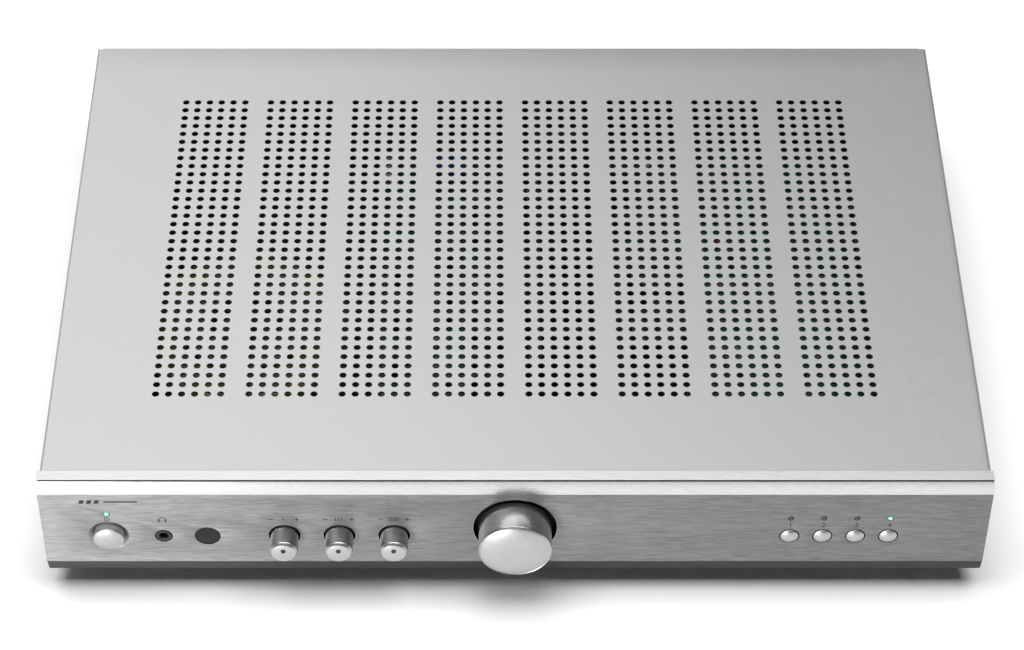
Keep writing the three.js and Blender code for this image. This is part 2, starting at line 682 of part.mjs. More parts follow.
add('front_panel', frontPanel(), FINISH.brushedAluminium);
add('sub_panel', subPanel(), FINISH.blackSteel);
add('chassis_pan', chassisPan(), FINISH.blackSteel);
add('rear_panel', rearPanel(), FINISH.blackSteel);
add('top_cover', topCover(), FINISH.silverPaint);
for (const [place, x, y] of FEET) {
  add(`foot_${place}`, foot(), FINISH.rubber, x, y, 0);
}
for (const [sideName, side] of [['left', -1], ['right', 1]]) {
  for (const [endName, end] of [['front', -1], ['rear', 1]]) {
    const x = side * (COVER_HALF_WIDTH - SHEET);
    add(`cover_screw_${sideName}_${endName}`, coverScrew(side), FINISH.zincSteel,
      x, end * SIDE_SCREW_Y, SIDE_SCREW_Z);
  }
}

add('power_button', pushButton(POWER, SHAFT, 24), FINISH.satinAluminium, POWER.x, FACE_Y, POWER.z);
add('power_switch', powerSwitch(), FINISH.blackPlastic, POWER.x, FACE_Y, POWER.z);
add('power_led', lightGuide(POWER_LAMP.radius, 17), FINISH.clearLamp,
  POWER_LAMP.x, FACE_Y, POWER_LAMP.z);
add('headphone_jack', headphoneJack(), FINISH.blackPlastic, PHONES.x, FACE_Y, PHONES.z);
add('remote_sensor_window', sensorWindow(), FINISH.smokedPlastic, SENSOR.x, FACE_Y, SENSOR.z);
for (const [name, x] of TONE_CONTROLS) {
  add(`${name}_knob`, toneKnob(), FINISH.satinAluminium, x, FACE_Y, TONE.z);
  add(`${name}_shaft`, shaft(TONE_SHAFT_Y), FINISH.zincSteel, x, FACE_Y, TONE.z);
  add(`${name}_potentiometer`, tonePotentiometer(), FINISH.zincSteel, x, FACE_Y, TONE.z);
}
add('volume_knob', volumeKnob(), FINISH.satinAluminium, VOLUME.x, FACE_Y, VOLUME.z);
add('volume_shaft', shaft(VOLUME_SHAFT_Y), FINISH.zincSteel, VOLUME.x, FACE_Y, VOLUME.z);
add('volume_potentiometer', volumePotentiometer(), FINISH.zincSteel, VOLUME.x, FACE_Y, VOLUME.z);
SOURCES.x.forEach((x, i) => {
  const isPlaying = i === SOURCES.x.length - 1;
  add(`source_button_${i + 1}`, pushButton(SOURCES, SOURCES.stem, 16), FINISH.satinAluminium,
    x, FACE_Y, SOURCES.z);
  add(`source_led_${i + 1}`, lightGuide(SOURCES.lamp, 18),
    isPlaying ? FINISH.clearLamp : FINISH.darkLamp, x, FACE_Y, SOURCES.lampZ);
});
add('source_board', sourceBoard(), FINISH.circuitBoard, 0, FACE_Y, 0);
const toneBoardTop = TONE.z - 8.5 - GAP;
add('tone_board', block(TONE_BOARD.x, TONE_BOARD.y, [toneBoardTop - BOARD, toneBoardTop]),
  FINISH.circuitBoard);

add('mains_inlet', mainsInlet(), FINISH.blackPlastic, INLET.x, 0, INLET.z);
add('speaker_terminals', speakerTerminals(), FINISH.goldPlate, 0, 0, POSTS.z);
POSTS.x.forEach((x, i) => {
  add(`terminal_cap_${i + 1}`, terminalCap(), FINISH.blackPlastic, x, 0, POSTS.z);
});
add('input_jacks', inputJacks(), FINISH.blackPlastic);
add('ground_screw', groundScrew(), FINISH.zincSteel, GROUND.x, 0, GROUND.z);

add('main_board', mainBoard(), FINISH.circuitBoard);
add('toroidal_transformer', toroidalTransformer(), FINISH.windingTape, TOROID.x, TOROID.y, TOROID.z);
add('transformer_clamp', transformerClamp(), FINISH.zincSteel, TOROID.x, TOROID.y, TOROID.z);
add('heat_sink', heatSink(), FINISH.brushedAluminium);
TRANSISTOR_Y.forEach((y, i) => {
  add(`output_transistor_${i + 1}`, outputTransistor(), FINISH.blackPlastic,
    HEAT_SINK.x - GAP, y, ON_BOARD_Z);
});
CAPACITOR.y.forEach((y, i) => {
  add(`reservoir_capacitor_${i + 1}`, reservoirCapacitor(), FINISH.sleeve, CAPACITOR.x, y, ON_BOARD_Z);
});
add('bridge_rectifier', bridgeRectifier(), FINISH.blackPlastic, CAPACITOR.x, RECTIFIER_Y, ON_BOARD_Z);
add('speaker_relay', block(RELAY.x, RELAY.y, [ON_BOARD_Z, ON_BOARD_Z + RELAY.height]), FINISH.relayCase);

export default amplifier;
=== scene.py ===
"""The looks of the integrated amplifier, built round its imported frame.

Drawing helpers take millimetres and turn them into Blender's metres; places come from the frame's nodes.
"""
import math
import random

import bmesh
import bpy
from mathutils import Matrix, Vector


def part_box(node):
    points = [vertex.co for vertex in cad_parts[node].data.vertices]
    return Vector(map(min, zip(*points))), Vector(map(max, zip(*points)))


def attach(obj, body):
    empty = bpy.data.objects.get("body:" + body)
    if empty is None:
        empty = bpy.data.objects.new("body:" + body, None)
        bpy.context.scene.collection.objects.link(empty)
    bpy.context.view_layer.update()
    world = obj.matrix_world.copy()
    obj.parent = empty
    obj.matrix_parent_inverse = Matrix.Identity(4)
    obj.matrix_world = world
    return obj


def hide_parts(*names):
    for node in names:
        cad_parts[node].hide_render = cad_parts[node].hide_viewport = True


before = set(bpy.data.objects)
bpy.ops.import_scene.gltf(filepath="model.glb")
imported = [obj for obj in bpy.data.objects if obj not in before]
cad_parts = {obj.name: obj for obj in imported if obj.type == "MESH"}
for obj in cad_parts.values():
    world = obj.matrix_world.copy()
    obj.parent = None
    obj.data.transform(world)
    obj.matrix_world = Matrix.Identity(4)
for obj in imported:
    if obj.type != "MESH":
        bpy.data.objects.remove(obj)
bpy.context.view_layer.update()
MM = 0.001
NEARLY = 1e-6  # two lengths nearer than this are the same
SHARP = math.radians(26)  # an edge that turns more than this gets its bevel
NOISE_RANGE = (0.3, 0.7)  # nearly all of the noise lies in here

# ---------------- measures shared with the frame

SHEET = 1.0  # steel sheet of the case
GAP = 0.3  # clearance between pieces that touch on the real object
VENT_BANKS = 8
VENT_COLUMNS = 6
VENT_ROWS = 35
VENT_PITCH = 6.0
VENT_BANK_PITCH = 43.0
VENT_DIAMETER = 3.4
VENT_FRONT_Y = -98.6
VENT_SIDES = 16
COVER_BEND = 1.4
COVER_LIP = 13.0
PANEL_WALL = 4.0
PANEL_RIM = 4.0
BEVEL_DEPTH = 2.4
TOP_BEVEL_HEIGHT = 6.3
BOTTOM_BEVEL_HEIGHT = 7.9
GROOVE_WIDTH = 1.0
GROOVE_DEPTH = 1.5
SOCKET_XS = (85, 115, 145, 175)
TONES = ("balance", "bass", "treble")
SOURCES = (1, 2, 3, 4)
TERMINALS = (1, 2, 3, 4)


def box_mm(node):
    """Lowest and highest corner of a CAD node, in millimetres."""
    low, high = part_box(node)
    return low / MM, high / MM


def middle_mm(node, **fixed):
    """The middle of a CAD node; a coordinate that is given takes the place of its own."""
    low, high = box_mm(node)
    middle = (low + high) / 2
    for axis, value in fixed.items():
        setattr(middle, axis, value)
    return middle


FACE_Y, BASE_Z = box_mm("front_panel")[0].yz
TOP_Z = box_mm("front_panel")[1].z
PANEL_EDGE_Y = box_mm("front_panel")[1].y + GAP - 0.05  # nearly closes the gap to the cover
FACE_TOP_Z = TOP_Z - TOP_BEVEL_HEIGHT
FACE_BOTTOM_Z = BASE_Z + BOTTOM_BEVEL_HEIGHT
GROOVE_FRONT_Y = FACE_Y + BEVEL_DEPTH
GROOVE_BACK_Y = GROOVE_FRONT_Y + GROOVE_WIDTH
REAR_Y = box_mm("rear_panel")[1].y
BOARD_TOP_Z = box_mm("main_board")[1].z
BOARD_SCREWS = [(x, y) for x in (-54, 70, 186) for y in (-88, 113)]
BEHIND_SUB_PANEL = box_mm("sub_panel")[0].y + SHEET + GAP - FACE_Y  # from the face to the controls' seat


def at_face(node):
    """The middle of a CAD node, brought forward to the front panel's face."""
    return middle_mm(node, y=FACE_Y)


# ---------------- materials


class Surface:
    """A Principled material whose colour, roughness and bump vary with noise in object space."""

    def __init__(self, name, color, roughness, metallic=0.0, **sockets):
        self.material = bpy.data.materials.new(name)
        self.material.use_nodes = True
        self.nodes = self.material.node_tree.nodes
        self.links = self.material.node_tree.links
        self.shader = self.nodes["Principled BSDF"]
        self.shader.inputs["Metallic"].default_value = metallic
        self.shader.inputs["Roughness"].default_value = roughness
        self.shader.inputs["Base Color"].default_value = (*color, 1.0)
        for socket, value in sockets.items():
            self.shader.inputs[socket.replace("_", " ")].default_value = value
        self.color = color
        self.roughness = roughness

    def node(self, kind, inputs=(), **settings):
        """Makes a node; an input is given as a value or as the output that feeds it."""
        made = self.nodes.new(kind)
        for key, value in settings.items():
            setattr(made, key, value)
        for key, value in dict(inputs).items():
            if isinstance(value, bpy.types.NodeSocket):
                self.links.new(value, made.inputs[key])
            else:
                made.inputs[key].default_value = value
        return made

    def feed(self, socket, output):
        self.links.new(output, self.shader.inputs[socket])

    def place(self, scale=1.0):
        """Object coordinates in metres, multiplied by one number or by one for each axis."""
        scale = scale if isinstance(scale, tuple) else (scale, scale, scale)
        coordinates = self.node("ShaderNodeTexCoord").outputs["Object"]
        return self.node("ShaderNodeMapping", {"Vector": coordinates, "Scale": scale}).outputs["Vector"]

    def noise(self, scale, detail=2.0):
        """Noise whose grains are 1/scale metres long along each axis."""
        inputs = {"Scale": 1.0, "Detail": detail, "Vector": self.place(scale)}
        return self.node("ShaderNodeTexNoise", inputs).outputs["Fac"]

    def split_place(self):
        return self.node("ShaderNodeSeparateXYZ", {"Vector": self.place()}).outputs

    def from_axis(self):
        """Distance from the Y axis of the piece itself, in metres."""
        split = self.split_place()
        flat = self.node("ShaderNodeCombineXYZ", {"X": split["X"], "Z": split["Z"]})
        length = self.node("ShaderNodeVectorMath", {0: flat.outputs["Vector"]}, operation="LENGTH")
        return length.outputs["Value"]

    def turning_marks(self, rings_per_metre):
        """Noise that depends on the distance from the piece's own axis, as lathe marks do."""
        ring = self.node("ShaderNodeCombineXYZ", {"X": self.from_axis(), "Y": self.split_place()["Y"]})
        inputs = {"Scale": rings_per_metre, "Detail": 1.0, "Vector": ring.outputs["Vector"]}
        return self.node("ShaderNodeTexNoise", inputs).outputs["Fac"]

    def spread(self, value, low, high, to_low=0.0, to_high=1.0):
        inputs = {"Value": value, "From Min": low, "From Max": high, "To Min": to_low, "To Max": to_high}
        return self.node("ShaderNodeMapRange", inputs).outputs["Result"]

    def blend(self, factor, first, second):
        """Colours the piece from the first colour to the second as the factor goes from 0 to 1."""
        inputs = {"Factor": factor, "A": (*first, 1.0), "B": (*second, 1.0)}
        mixed = self.node("ShaderNodeMix", inputs, data_type="RGBA").outputs["Result"]
        self.feed("Base Color", mixed)
        return mixed

    def vary_color(self, fac, part):
        """Multiplies the colour by 1 - part to 1 + part as the noise goes from low to high."""
        dark = [c * (1 - part) for c in self.color]
        light = [min(c * (1 + part), 1.0) for c in self.color]
        self.blend(self.spread(fac, *NOISE_RANGE), dark, light)

    def vary_roughness(self, fac, reach):
        low, high = self.roughness - reach, self.roughness + reach
        self.feed("Roughness", self.spread(fac, *NOISE_RANGE, low, high))

    def bump(self, fac, height_mm, strength=1.0):
        inputs = {"Strength": strength, "Distance": height_mm * MM, "Height": fac}
        self.feed("Normal", self.node("ShaderNodeBump", inputs).outputs["Normal"])

    def tangent(self, **direction):
        """Direction of the brushing."""
        self.feed("Tangent", self.node("ShaderNodeTangent", **direction).outputs["Tangent"])


def brushed_aluminium(name, color, roughness, grain, depth=0.008):
    """Aluminium brushed along X: highlights spread across the brushing, upright."""
    s = Surface(name, color, roughness, 1.0, Anisotropic=0.8, Anisotropic_Rotation=0.25)
    fine = s.noise((140, 2800, 2800))
    s.vary_color(s.noise((125, 2100, 2100), 3.0), grain)
    s.vary_roughness(fine, 0.05)
    s.bump(fine, depth, 0.3)
    s.tangent(direction_type="UV_MAP")
    return s.material


def turned_aluminium(name, color, roughness):
    s = Surface(name, color, roughness, 0.95, Anisotropic=0.2)
    marks = s.turning_marks(4200)
    s.vary_color(s.noise(260, 3.0), 0.03)
    s.vary_roughness(marks, 0.03)
    s.bump(marks, 0.004, 0.3)
    s.tangent(direction_type="RADIAL", axis="Y")
    return s.material


def grained(name, color, roughness, tint, gloss=None, relief=None, metallic=0.0, **sockets):
    """A material of even make; tint and gloss are [noise, reach] and relief is [noise, height, strength]."""
    s = Surface(name, color, roughness, metallic, **sockets)
    s.vary_color(s.noise(*tint[0]), tint[1])
    if gloss:
        s.vary_roughness(s.noise(*gloss[0]), gloss[1])
    if relief:
        s.bump(s.noise(*relief[0]), *relief[1:])
    return s.material


def powder_coat(name, color, roughness):
    return grained(name, color, roughness, ((90, 4.0), 0.12), ((600,), 0.08), ((1800,), 0.02, 0.6))


def zinc(name, color, roughness):
    return grained(name, color, roughness, ((180, 4.0), 0.10), ((420, 3.0), 0.08), ((1200, 3.0), 0.006, 0.4),
                   metallic=1.0)


def moulded(name, color, roughness, grain=0.012, **sockets):
    """Moulded plastic or rubber with a fine spark-eroded texture."""
    return grained(name, color, roughness, ((140, 3.0), 0.10), ((500,), 0.06), ((2400,), grain, 0.5),
                   **sockets)


def print_ink(name, color, spread):
    return grained(name, color, 0.5, ((3000,), spread))


def lamp(name, middle, edge, strength, radius):
    """A light guide's end, palest in its middle; a lit one glows."""
    s = Surface(name, edge, 0.25, Emission_Strength=strength)
    color = s.blend(s.spread(s.from_axis(), radius * 0.25 * MM, radius * MM), middle, edge)
    if strength:
        s.feed("Emission Color", color)
    s.vary_roughness(s.noise(900), 0.05)
    return s.material


def solder_mask(bare, broad, trace):
    """Green lacquer with a pattern of raised tracks."""
    s = Surface("circuit_board", bare, 0.35, Coat_Weight=0.4)
    inputs = {"Color1": (*bare, 1), "Color2": (*broad, 1), "Mortar": (*trace, 1), "Scale": 1.0,
              "Mortar Size": 0.06, "Vector": s.place(160)}
    traces = s.node("ShaderNodeTexBrick", inputs).outputs
    s.feed("Base Color", traces["Color"])
    s.bump(traces["Fac"], 0.03, 0.6)
    return s.material


BRUSHED = brushed_aluminium("brushed_aluminium", (0.29, 0.29, 0.292), 0.5, 0.22)
# Smoother bright-cut finish for chamfers and edges; its lighter colour than the face is painted highlight.
BRIGHT_CUT_AND_HIGHLIGHT = brushed_aluminium("bright_cut_and_highlight_aluminium", (0.70, 0.70, 0.70), 0.28, 0.03, 0.002)
# Finer brushed copy for the upward land, lighter than the face: painted highlight.
LAND_HIGHLIGHT = brushed_aluminium("land_painted_highlight_aluminium", (0.55, 0.55, 0.55), 0.42, 0.05, 0.004)
# Near-black copy of the brushed aluminium: painted shade.
SHADED_ALUMINIUM = brushed_aluminium("painted_shade_aluminium", (0.07, 0.07, 0.071), 0.4, 0.05)
SATIN = turned_aluminium("satin_aluminium", (0.46, 0.46, 0.463), 0.37)
SATIN_SIDE = turned_aluminium("satin_aluminium_side", (0.46, 0.46, 0.463), 0.26)
SILVER_PAINT = grained("silver_paint", (0.558, 0.558, 0.56), 0.42, ((2600,), 0.035), ((500,), 0.03),
                       ((1500,), 0.010, 0.3), 0.75)
BLACK_STEEL = powder_coat("black_steel", (0.014, 0.014, 0.015), 0.48)
BLACK_ANODISED = powder_coat("black_anodised", (0.018, 0.018, 0.02), 0.4)
# Near black for the cover sheet's rim, chiefly the walls of the vent holes: painted shade.
VENT_HOLE_SHADE = powder_coat("vent_hole_painted_shade", (0.025, 0.025, 0.026), 0.6)
ZINC = zinc("zinc_steel", (0.55, 0.56, 0.58), 0.32)
# Zinc darkened for parts seen through the vents: painted shade.
SHADED_ZINC = zinc("painted_shade_zinc", (0.15, 0.15, 0.148), 0.5)
SCREW_STEEL = zinc("screw_steel", (0.50, 0.50, 0.51), 0.28)
GOLD = zinc("gold_plate", (0.78, 0.52, 0.18), 0.22)
RUBBER = moulded("foot_rubber", (0.018, 0.018, 0.018), 0.75, 0.03)
BLACK_PLASTIC = moulded("black_plastic", (0.016, 0.016, 0.017), 0.42)
# Black without sheen for the walls and rims of the panel's openings: painted shade.
OPENING_SHADE = moulded("opening_painted_shade", (0.004, 0.004, 0.004), 0.7, Specular_IOR_Level=0.0)
RESISTOR = moulded("resistor_body", (0.30, 0.22, 0.13), 0.5, 0.004)
RED_PLASTIC = moulded("red_plastic", (0.42, 0.012, 0.012), 0.35)
WHITE_PLASTIC = moulded("white_plastic", (0.62, 0.62, 0.60), 0.4)
RELAY_BLUE = moulded("relay_case", (0.012, 0.07, 0.26), 0.25, 0.004)
SLEEVE = moulded("capacitor_sleeve", (0.010, 0.014, 0.03), 0.28, 0.004, Coat_Weight=0.4)
# Dark colour for the large cans' tops: painted shade.
SHADED_CAN_TOP = moulded("capacitor_top_painted_shade", (0.03, 0.03, 0.032), 0.55, 0.004)
WIRE_BROWN = moulded("brown_wire", (0.12, 0.045, 0.02), 0.4, 0.004)
WIRE_BLUE = moulded("blue_wire", (0.02, 0.09, 0.32), 0.4, 0.004)
SMOKED = grained("smoked_plastic", (0.010, 0.010, 0.011), 0.22, ((300,), 0.10), ((120,), 0.04),
                 Specular_IOR_Level=0.25)
LIT = lamp("lit_lamp", (0.85, 1.0, 0.94), (0.10, 0.70, 0.42), 0.45, 1.0)
UNLIT = lamp("dark_lamp", (0.055, 0.056, 0.057), (0.045, 0.046, 0.046), 0.0, 1.1)
BOARD_GREEN = solder_mask((0.012, 0.075, 0.035), (0.015, 0.095, 0.045), (0.03, 0.15, 0.07))
TAPE = grained("winding_tape", (0.17, 0.10, 0.02), 0.35, ((70, 4.0), 0.25), ((300,), 0.08),
               ((400,), 0.05, 0.5), Coat_Weight=0.3, Coat_Roughness=0.2)
PRINT = print_ink("printed_mark", (0.018, 0.018, 0.02), 0.15)
PRINT_WHITE = print_ink("white_print", (0.62, 0.62, 0.62), 0.08)

# ---------------- mesh helpers


def settled(obj, kind, **settings):
    """Applies one modifier to an object for good."""
    modifier = obj.modifiers.new("work", kind)
    for key, value in settings.items():
        setattr(modifier, key, value)
    bpy.context.view_layer.update()
    shaped = obj.evaluated_get(bpy.context.evaluated_depsgraph_get())
    mesh = bpy.data.meshes.new_from_object(shaped)
    mesh.name = obj.name
    obj.modifiers.clear()
    obj.data = mesh


def linked(name, data):
    """A new object in the scene."""
    obj = bpy.data.objects.new(name, data)
    bpy.context.scene.collection.objects.link(obj)
    return obj


def as_mesh(name, bm):
    """Turns a bmesh into a mesh and frees it."""
    mesh = bpy.data.meshes.new(name)
    bm.to_mesh(mesh)
    bm.free()
    return mesh


def piece(name, bm, materials, replaces=(), at=(0, 0, 0), body="case", smooth=32, flat=False):
    """Turns a bmesh in millimetres into a piece that rides on a body.

    With flat, broad faces keep their own normal and only the narrow rounded edges blend.
    """
    bmesh.ops.scale(bm, vec=(MM, MM, MM), verts=bm.verts)
    mesh = as_mesh(name, bm)
    for material in materials:
        mesh.materials.append(material)
    mesh.shade_smooth()
    mesh.set_sharp_from_angle(angle=math.radians(smooth))
    obj = linked(name, mesh)
    obj.location = Vector(at) * MM
    if flat:
        settled(obj, "WEIGHTED_NORMAL", weight=100, keep_sharp=True)
    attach(obj, body)
    if replaces:
        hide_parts(*replaces)
    return obj


def eased(profile, radius, steps=3):
    """Rounds a profile's corners; a third number on a point is that corner's own radius."""
    rounded = []
    last = len(profile) - 1
    closed = profile[0][:2] == profile[last][:2]
    for i, point in enumerate(profile):
        here = Vector(point[:2])
        ease = point[2] if len(point) > 2 else radius
        if (i in (0, last) and not closed) or ease <= 0:
            rounded.append(here)
            continue
        before = Vector(profile[i - 1 if i else last - 1][:2]) - here
        after = Vector(profile[i + 1 if i < last else 1][:2]) - here
        turn = before.angle(after)
        if turn > math.radians(172):
            rounded.append(here)
            continue
        reach = min(ease / math.tan(turn / 2), before.length * 0.45, after.length * 0.45)
        start = here + before.normalized() * reach
        end = here + after.normalized() * reach
        for k in range(steps + 1):
            t = k / steps
            rounded.append(start * (1 - t) ** 2 + here * 2 * t * (1 - t) + end * t * t)
    return rounded


def turned(profile, steps=96, ease=0.0, axis="Y"):
    """Revolves a [radius, along] profile round Y, or round Z, with rounded corners."""
    bm = bmesh.new()
    points = eased(profile, ease)
    closed = (points[0] - points[-1]).length < NEARLY
    if closed:
        points = points[:-1]
    rings = []
    for radius, along in points:
        ring = []
        for k in range(steps if radius > NEARLY else 1):
            a = 2 * math.pi * k / steps
            c, s = radius * math.cos(a), radius * math.sin(a)
            ring.append(bm.verts.new((c, along, -s) if axis == "Y" else (c, s, along)))
        rings.append(ring)
    for low, high in zip(rings, rings[1:] + (rings[:1] if closed else [])):
        for k in range(steps):
            j = (k + 1) % steps
            corners = (low[k % len(low)], low[j % len(low)], high[j % len(high)], high[k % len(high)])
            corners = tuple(dict.fromkeys(corners))
            if len(corners) > 2:
                bm.faces.new(corners)
    return bm


def rod(radius, low, high, steps, ease=0.0, axis="Y"):
    """A plain round bar."""
    return turned([(0, low), (radius, low), (radius, high), (0, high)], steps, ease, axis)


def pipe(inner, outer, low, high, steps, ease):
    """A plain tube along Y."""
    return turned([(inner, low), (outer, low), (outer, high), (inner, high), (inner, low)], steps, ease)


def thread_points(crest, root, start, pitch, fall, count):
    """Profile of a thread: its crests lie one pitch apart, and each root lies a fall behind its crest."""
    points = []
    for k in range(count):
        points += [(crest, start + k * pitch), (root, start + fall + k * pitch)]
    return points


def move(bm, offset):
    bmesh.ops.translate(bm, vec=Vector(offset), verts=bm.verts)
    return bm


def rotate(bm, degrees, axis):
    bmesh.ops.rotate(bm, verts=bm.verts, matrix=Matrix.Rotation(math.radians(degrees), 3, axis))
    return bm


def tinted(bm, index):
    """Gives a whole bmesh one material index."""
    for face in bm.faces:
        face.material_index = index
    return bm


def paint(bm, index, test):
    """Gives a material index to the faces whose middle and normal pass the test."""
    for face in bm.faces:
        if test(face.calc_center_median(), face.normal):
            face.material_index = index


def add(bm, part, index=None, at=(0, 0, 0)):
    """Moves a part to its place, gives it a material index and makes it one with a bmesh."""
    if index is not None:
        tinted(part, index)
    mesh = as_mesh("part", move(part, at))
    bm.from_mesh(mesh)
    bpy.data.meshes.remove(mesh)
    return bm


def baked(bm, cutter=None, bevel=0.0, keep=None):
    """Cuts a bmesh with another and rounds its sharp edges, except those that keep() holds back."""
    if cutter is not None:
        body, tool = linked("work", as_mesh("work", bm)), linked("tool", as_mesh("tool", cutter))
        settled(body, "BOOLEAN", operation="DIFFERENCE", solver="EXACT", object=tool)
        bm = bmesh.new()
        bm.from_mesh(body.data)
        bpy.data.objects.remove(body)
        bpy.data.objects.remove(tool)
        bmesh.ops.dissolve_degenerate(bm, dist=1e-5, edges=bm.edges)
    if bevel:
        sharp = [e for e in bm.edges if e.is_manifold and e.calc_face_angle() > SHARP
                 and not (keep and keep(e))]
        bmesh.ops.bevel(bm, geom=sharp, offset=bevel, segments=2, profile=0.5, affect="EDGES",
                        clamp_overlap=True)
    bm.normal_update()
    return bm


def block(low, high, bevel=0.0):
    """A box between two corners."""
    low, high = Vector(low), Vector(high)
    bm = bmesh.new()
    bmesh.ops.create_cube(bm, size=1.0)
    bmesh.ops.scale(bm, vec=high - low, verts=bm.verts)
    return baked(move(bm, (low + high) / 2), bevel=bevel)


def prism(points, low, high, axis="Y"):
    """Sweeps a closed outline along an axis; the outline's two numbers are the other two axes."""
    bm = bmesh.new()

    def corner(a, b, along):
        return {"X": (along, a, b), "Y": (a, along, b), "Z": (a, b, along)}[axis]

    near = [bm.verts.new(corner(a, b, low)) for a, b in points]
    far = [bm.verts.new(corner(a, b, high)) for a, b in points]
    bm.faces.new(near)
    bm.faces.new(far)
    for i in range(len(points)):
        bm.faces.new((near[i - 1], near[i], far[i], far[i - 1]))
    bmesh.ops.recalc_face_normals(bm, faces=bm.faces)
    return bm


def arc_points(centre, radius, start, end, steps):
    """Points on an arc, angles in degrees."""
    points = []
    for k in range(steps + 1):
        turn = math.radians(start + (end - start) * k / steps)
        points.append((centre[0] + radius * math.cos(turn), centre[1] + radius * math.sin(turn)))
    return points


def rounded_outline(half_width, half_height, radius):
    """A rectangle with round corners, as points about its middle."""
    points = []
    for quarter, (side, end) in enumerate(((1, 1), (-1, 1), (-1, -1), (1, -1))):
        centre = (side * (half_width - radius), end * (half_height - radius))
        points += arc_points(centre, radius, quarter * 90, quarter * 90 + 90, 5)
    return points


def hexagon(across, low, high, axis="Y"):
    """A nut or a bolt head, by the distance between its flats."""
    return baked(prism(arc_points((0, 0), across / math.sqrt(3), 0, 300, 5), low, high, axis), bevel=0.3)


def tube(points, radius, sides=10):
    """A round wire that runs smoothly through its points."""
    bm = bmesh.new()
    marks = [Vector(point) for point in points]
    path = []
    for i in range(len(marks) - 1):
        a, b, c, d = marks[max(i - 1, 0)], marks[i], marks[i + 1], marks[min(i + 2, len(marks) - 1)]
        for t in (k / 8 for k in range(8)):
            path.append(0.5 * (2 * b + (c - a) * t + (2 * a - 5 * b + 4 * c - d) * t * t
                               + (3 * b - a - 3 * c + d) * t ** 3))
    path.append(marks[-1])
    rings = []
    for i, here in enumerate(path):
        along = (path[min(i + 1, len(path) - 1)] - path[max(i - 1, 0)]).normalized()
        side = along.cross(side).cross(along).normalized() if rings else along.orthogonal().normalized()
        up = along.cross(side)
        turns = [2 * math.pi * k / sides for k in range(sides)]
        rings.append([bm.verts.new(here + (side * math.cos(a) + up * math.sin(a)) * radius) for a in turns])
    bm.faces.new(rings[0][::-1])
    bm.faces.new(rings[-1])
    for low, high in zip(rings, rings[1:]):
        for k in range(sides):
            bm.faces.new((low[k - 1], low[k], high[k], high[k - 1]))
    return bm


def fluted(bm, count, depth, beyond):
    """Presses flutes along Y into every part of a turned shape that lies beyond a radius."""
    for vert in bm.verts:
        reach = math.hypot(vert.co.x, vert.co.z)
        if reach > beyond:
            press = depth * (0.5 + 0.5 * math.cos(count * math.atan2(vert.co.z, vert.co.x)))
            vert.co.x *= 1 - press / reach
            vert.co.z *= 1 - press / reach
    return bm


def dress(node, material):
    """A CAD node that stays gets a procedural material."""
    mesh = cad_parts[node].data
    mesh.materials.clear()
    mesh.materials.append(material)


# ---------------- camera, light and floor


def camera():
    """The photograph's viewpoint: 45 degrees down on the front, long lens."""
    data = bpy.data.cameras.new("camera")
    data.sensor_width = 36.0
    data.lens = 107.41
    data.shift_x = 0.0232
    data.clip_start = 0.05
    data.clip_end = 40.0
    eye = linked("camera", data)
    eye.location = Vector((-12.2, -1067.5, 1094.5)) * MM
    eye.rotation_euler = (math.radians(90 - 45.22), 0, 0)
    bpy.context.scene.camera = eye


def softbox(name, at, aim, size, power):
    """A rectangular light, in metres and watts, that doesn't show itself."""
    data = bpy.data.lights.new(name, "AREA")
    data.shape = "RECTANGLE"
    data.size, data.size_y = size
    data.energy = power
    light = linked(name, data)
    light.location = at
    light.rotation_euler = (Vector(aim) - Vector(at)).to_track_quat("-Z", "Y").to_euler()
    light.visible_camera = False


def studio():
    world = bpy.data.worlds.new("studio")
    world.use_nodes = True
    background = world.node_tree.nodes["Background"]
    background.inputs["Color"].default_value = (1, 1, 1, 1)
    background.inputs["Strength"].default_value = 0.025
    bpy.context.scene.world = world
    bpy.context.scene.view_settings.view_transform = "Standard"
    softbox("key", (0.0, -0.28, 1.9), (0, -0.1, 0), (2.5, 1.1), 53)
    softbox("back_left", (-0.75, 1.4, 1.6), (0, 0, 0), (1.7, 1.6), 11)
    softbox("back_right", (0.4, 1.4, 2.05), (0, 0, 0), (1.0, 1.1), 2.0)
    softbox("low_front_left", (-0.8, -1.6, 0.05), (-0.2, -0.155, 0.045), (0.8, 0.08), 17)


def floor():
    bm = bmesh.new()
    bmesh.ops.create_grid(bm, x_segments=8, y_segments=8, size=4.0)
    obj = linked("floor", as_mesh("floor", bm))
    white = Surface("floor_white", (0.97, 0.97, 0.97), 0.9, Specular_IOR_Level=0.0)
    obj.data.materials.append(white.material)
    obj.location.z = -0.2 * MM


camera()
studio()
floor()

# ---------------- case

# Brushed aluminium in its own, painted highlight and painted shade copies, the painted shade for the
# openings, and satin for the power dish.
PANEL_FINISHES_AND_SHADES = [BRUSHED, BRIGHT_CUT_AND_HIGHLIGHT, LAND_HIGHLIGHT, SHADED_ALUMINIUM, OPENING_SHADE, SATIN]


def vent_cell(bm, corners, centre, z):
    """One square of the cover with its round hole: four faces between the square and the circle."""
    per_side = VENT_SIDES // 4
    circle = arc_points(centre, VENT_DIAMETER / 2, -135, 225, VENT_SIDES)[:-1]
    ring = [bm.verts.new((x, y, z)) for x, y in circle]
    for side in range(4):
        inner = [ring[(side * per_side + k) % VENT_SIDES] for k in range(per_side + 1)]
        bm.faces.new([corners[side], corners[(side + 1) % 4], *reversed(inner)])


def strip(bm, near, far):
    """A row of faces between two rows of vertices."""
    for k in range(len(near) - 1):
        bm.faces.new((near[k], near[k + 1], far[k + 1], far[k]))


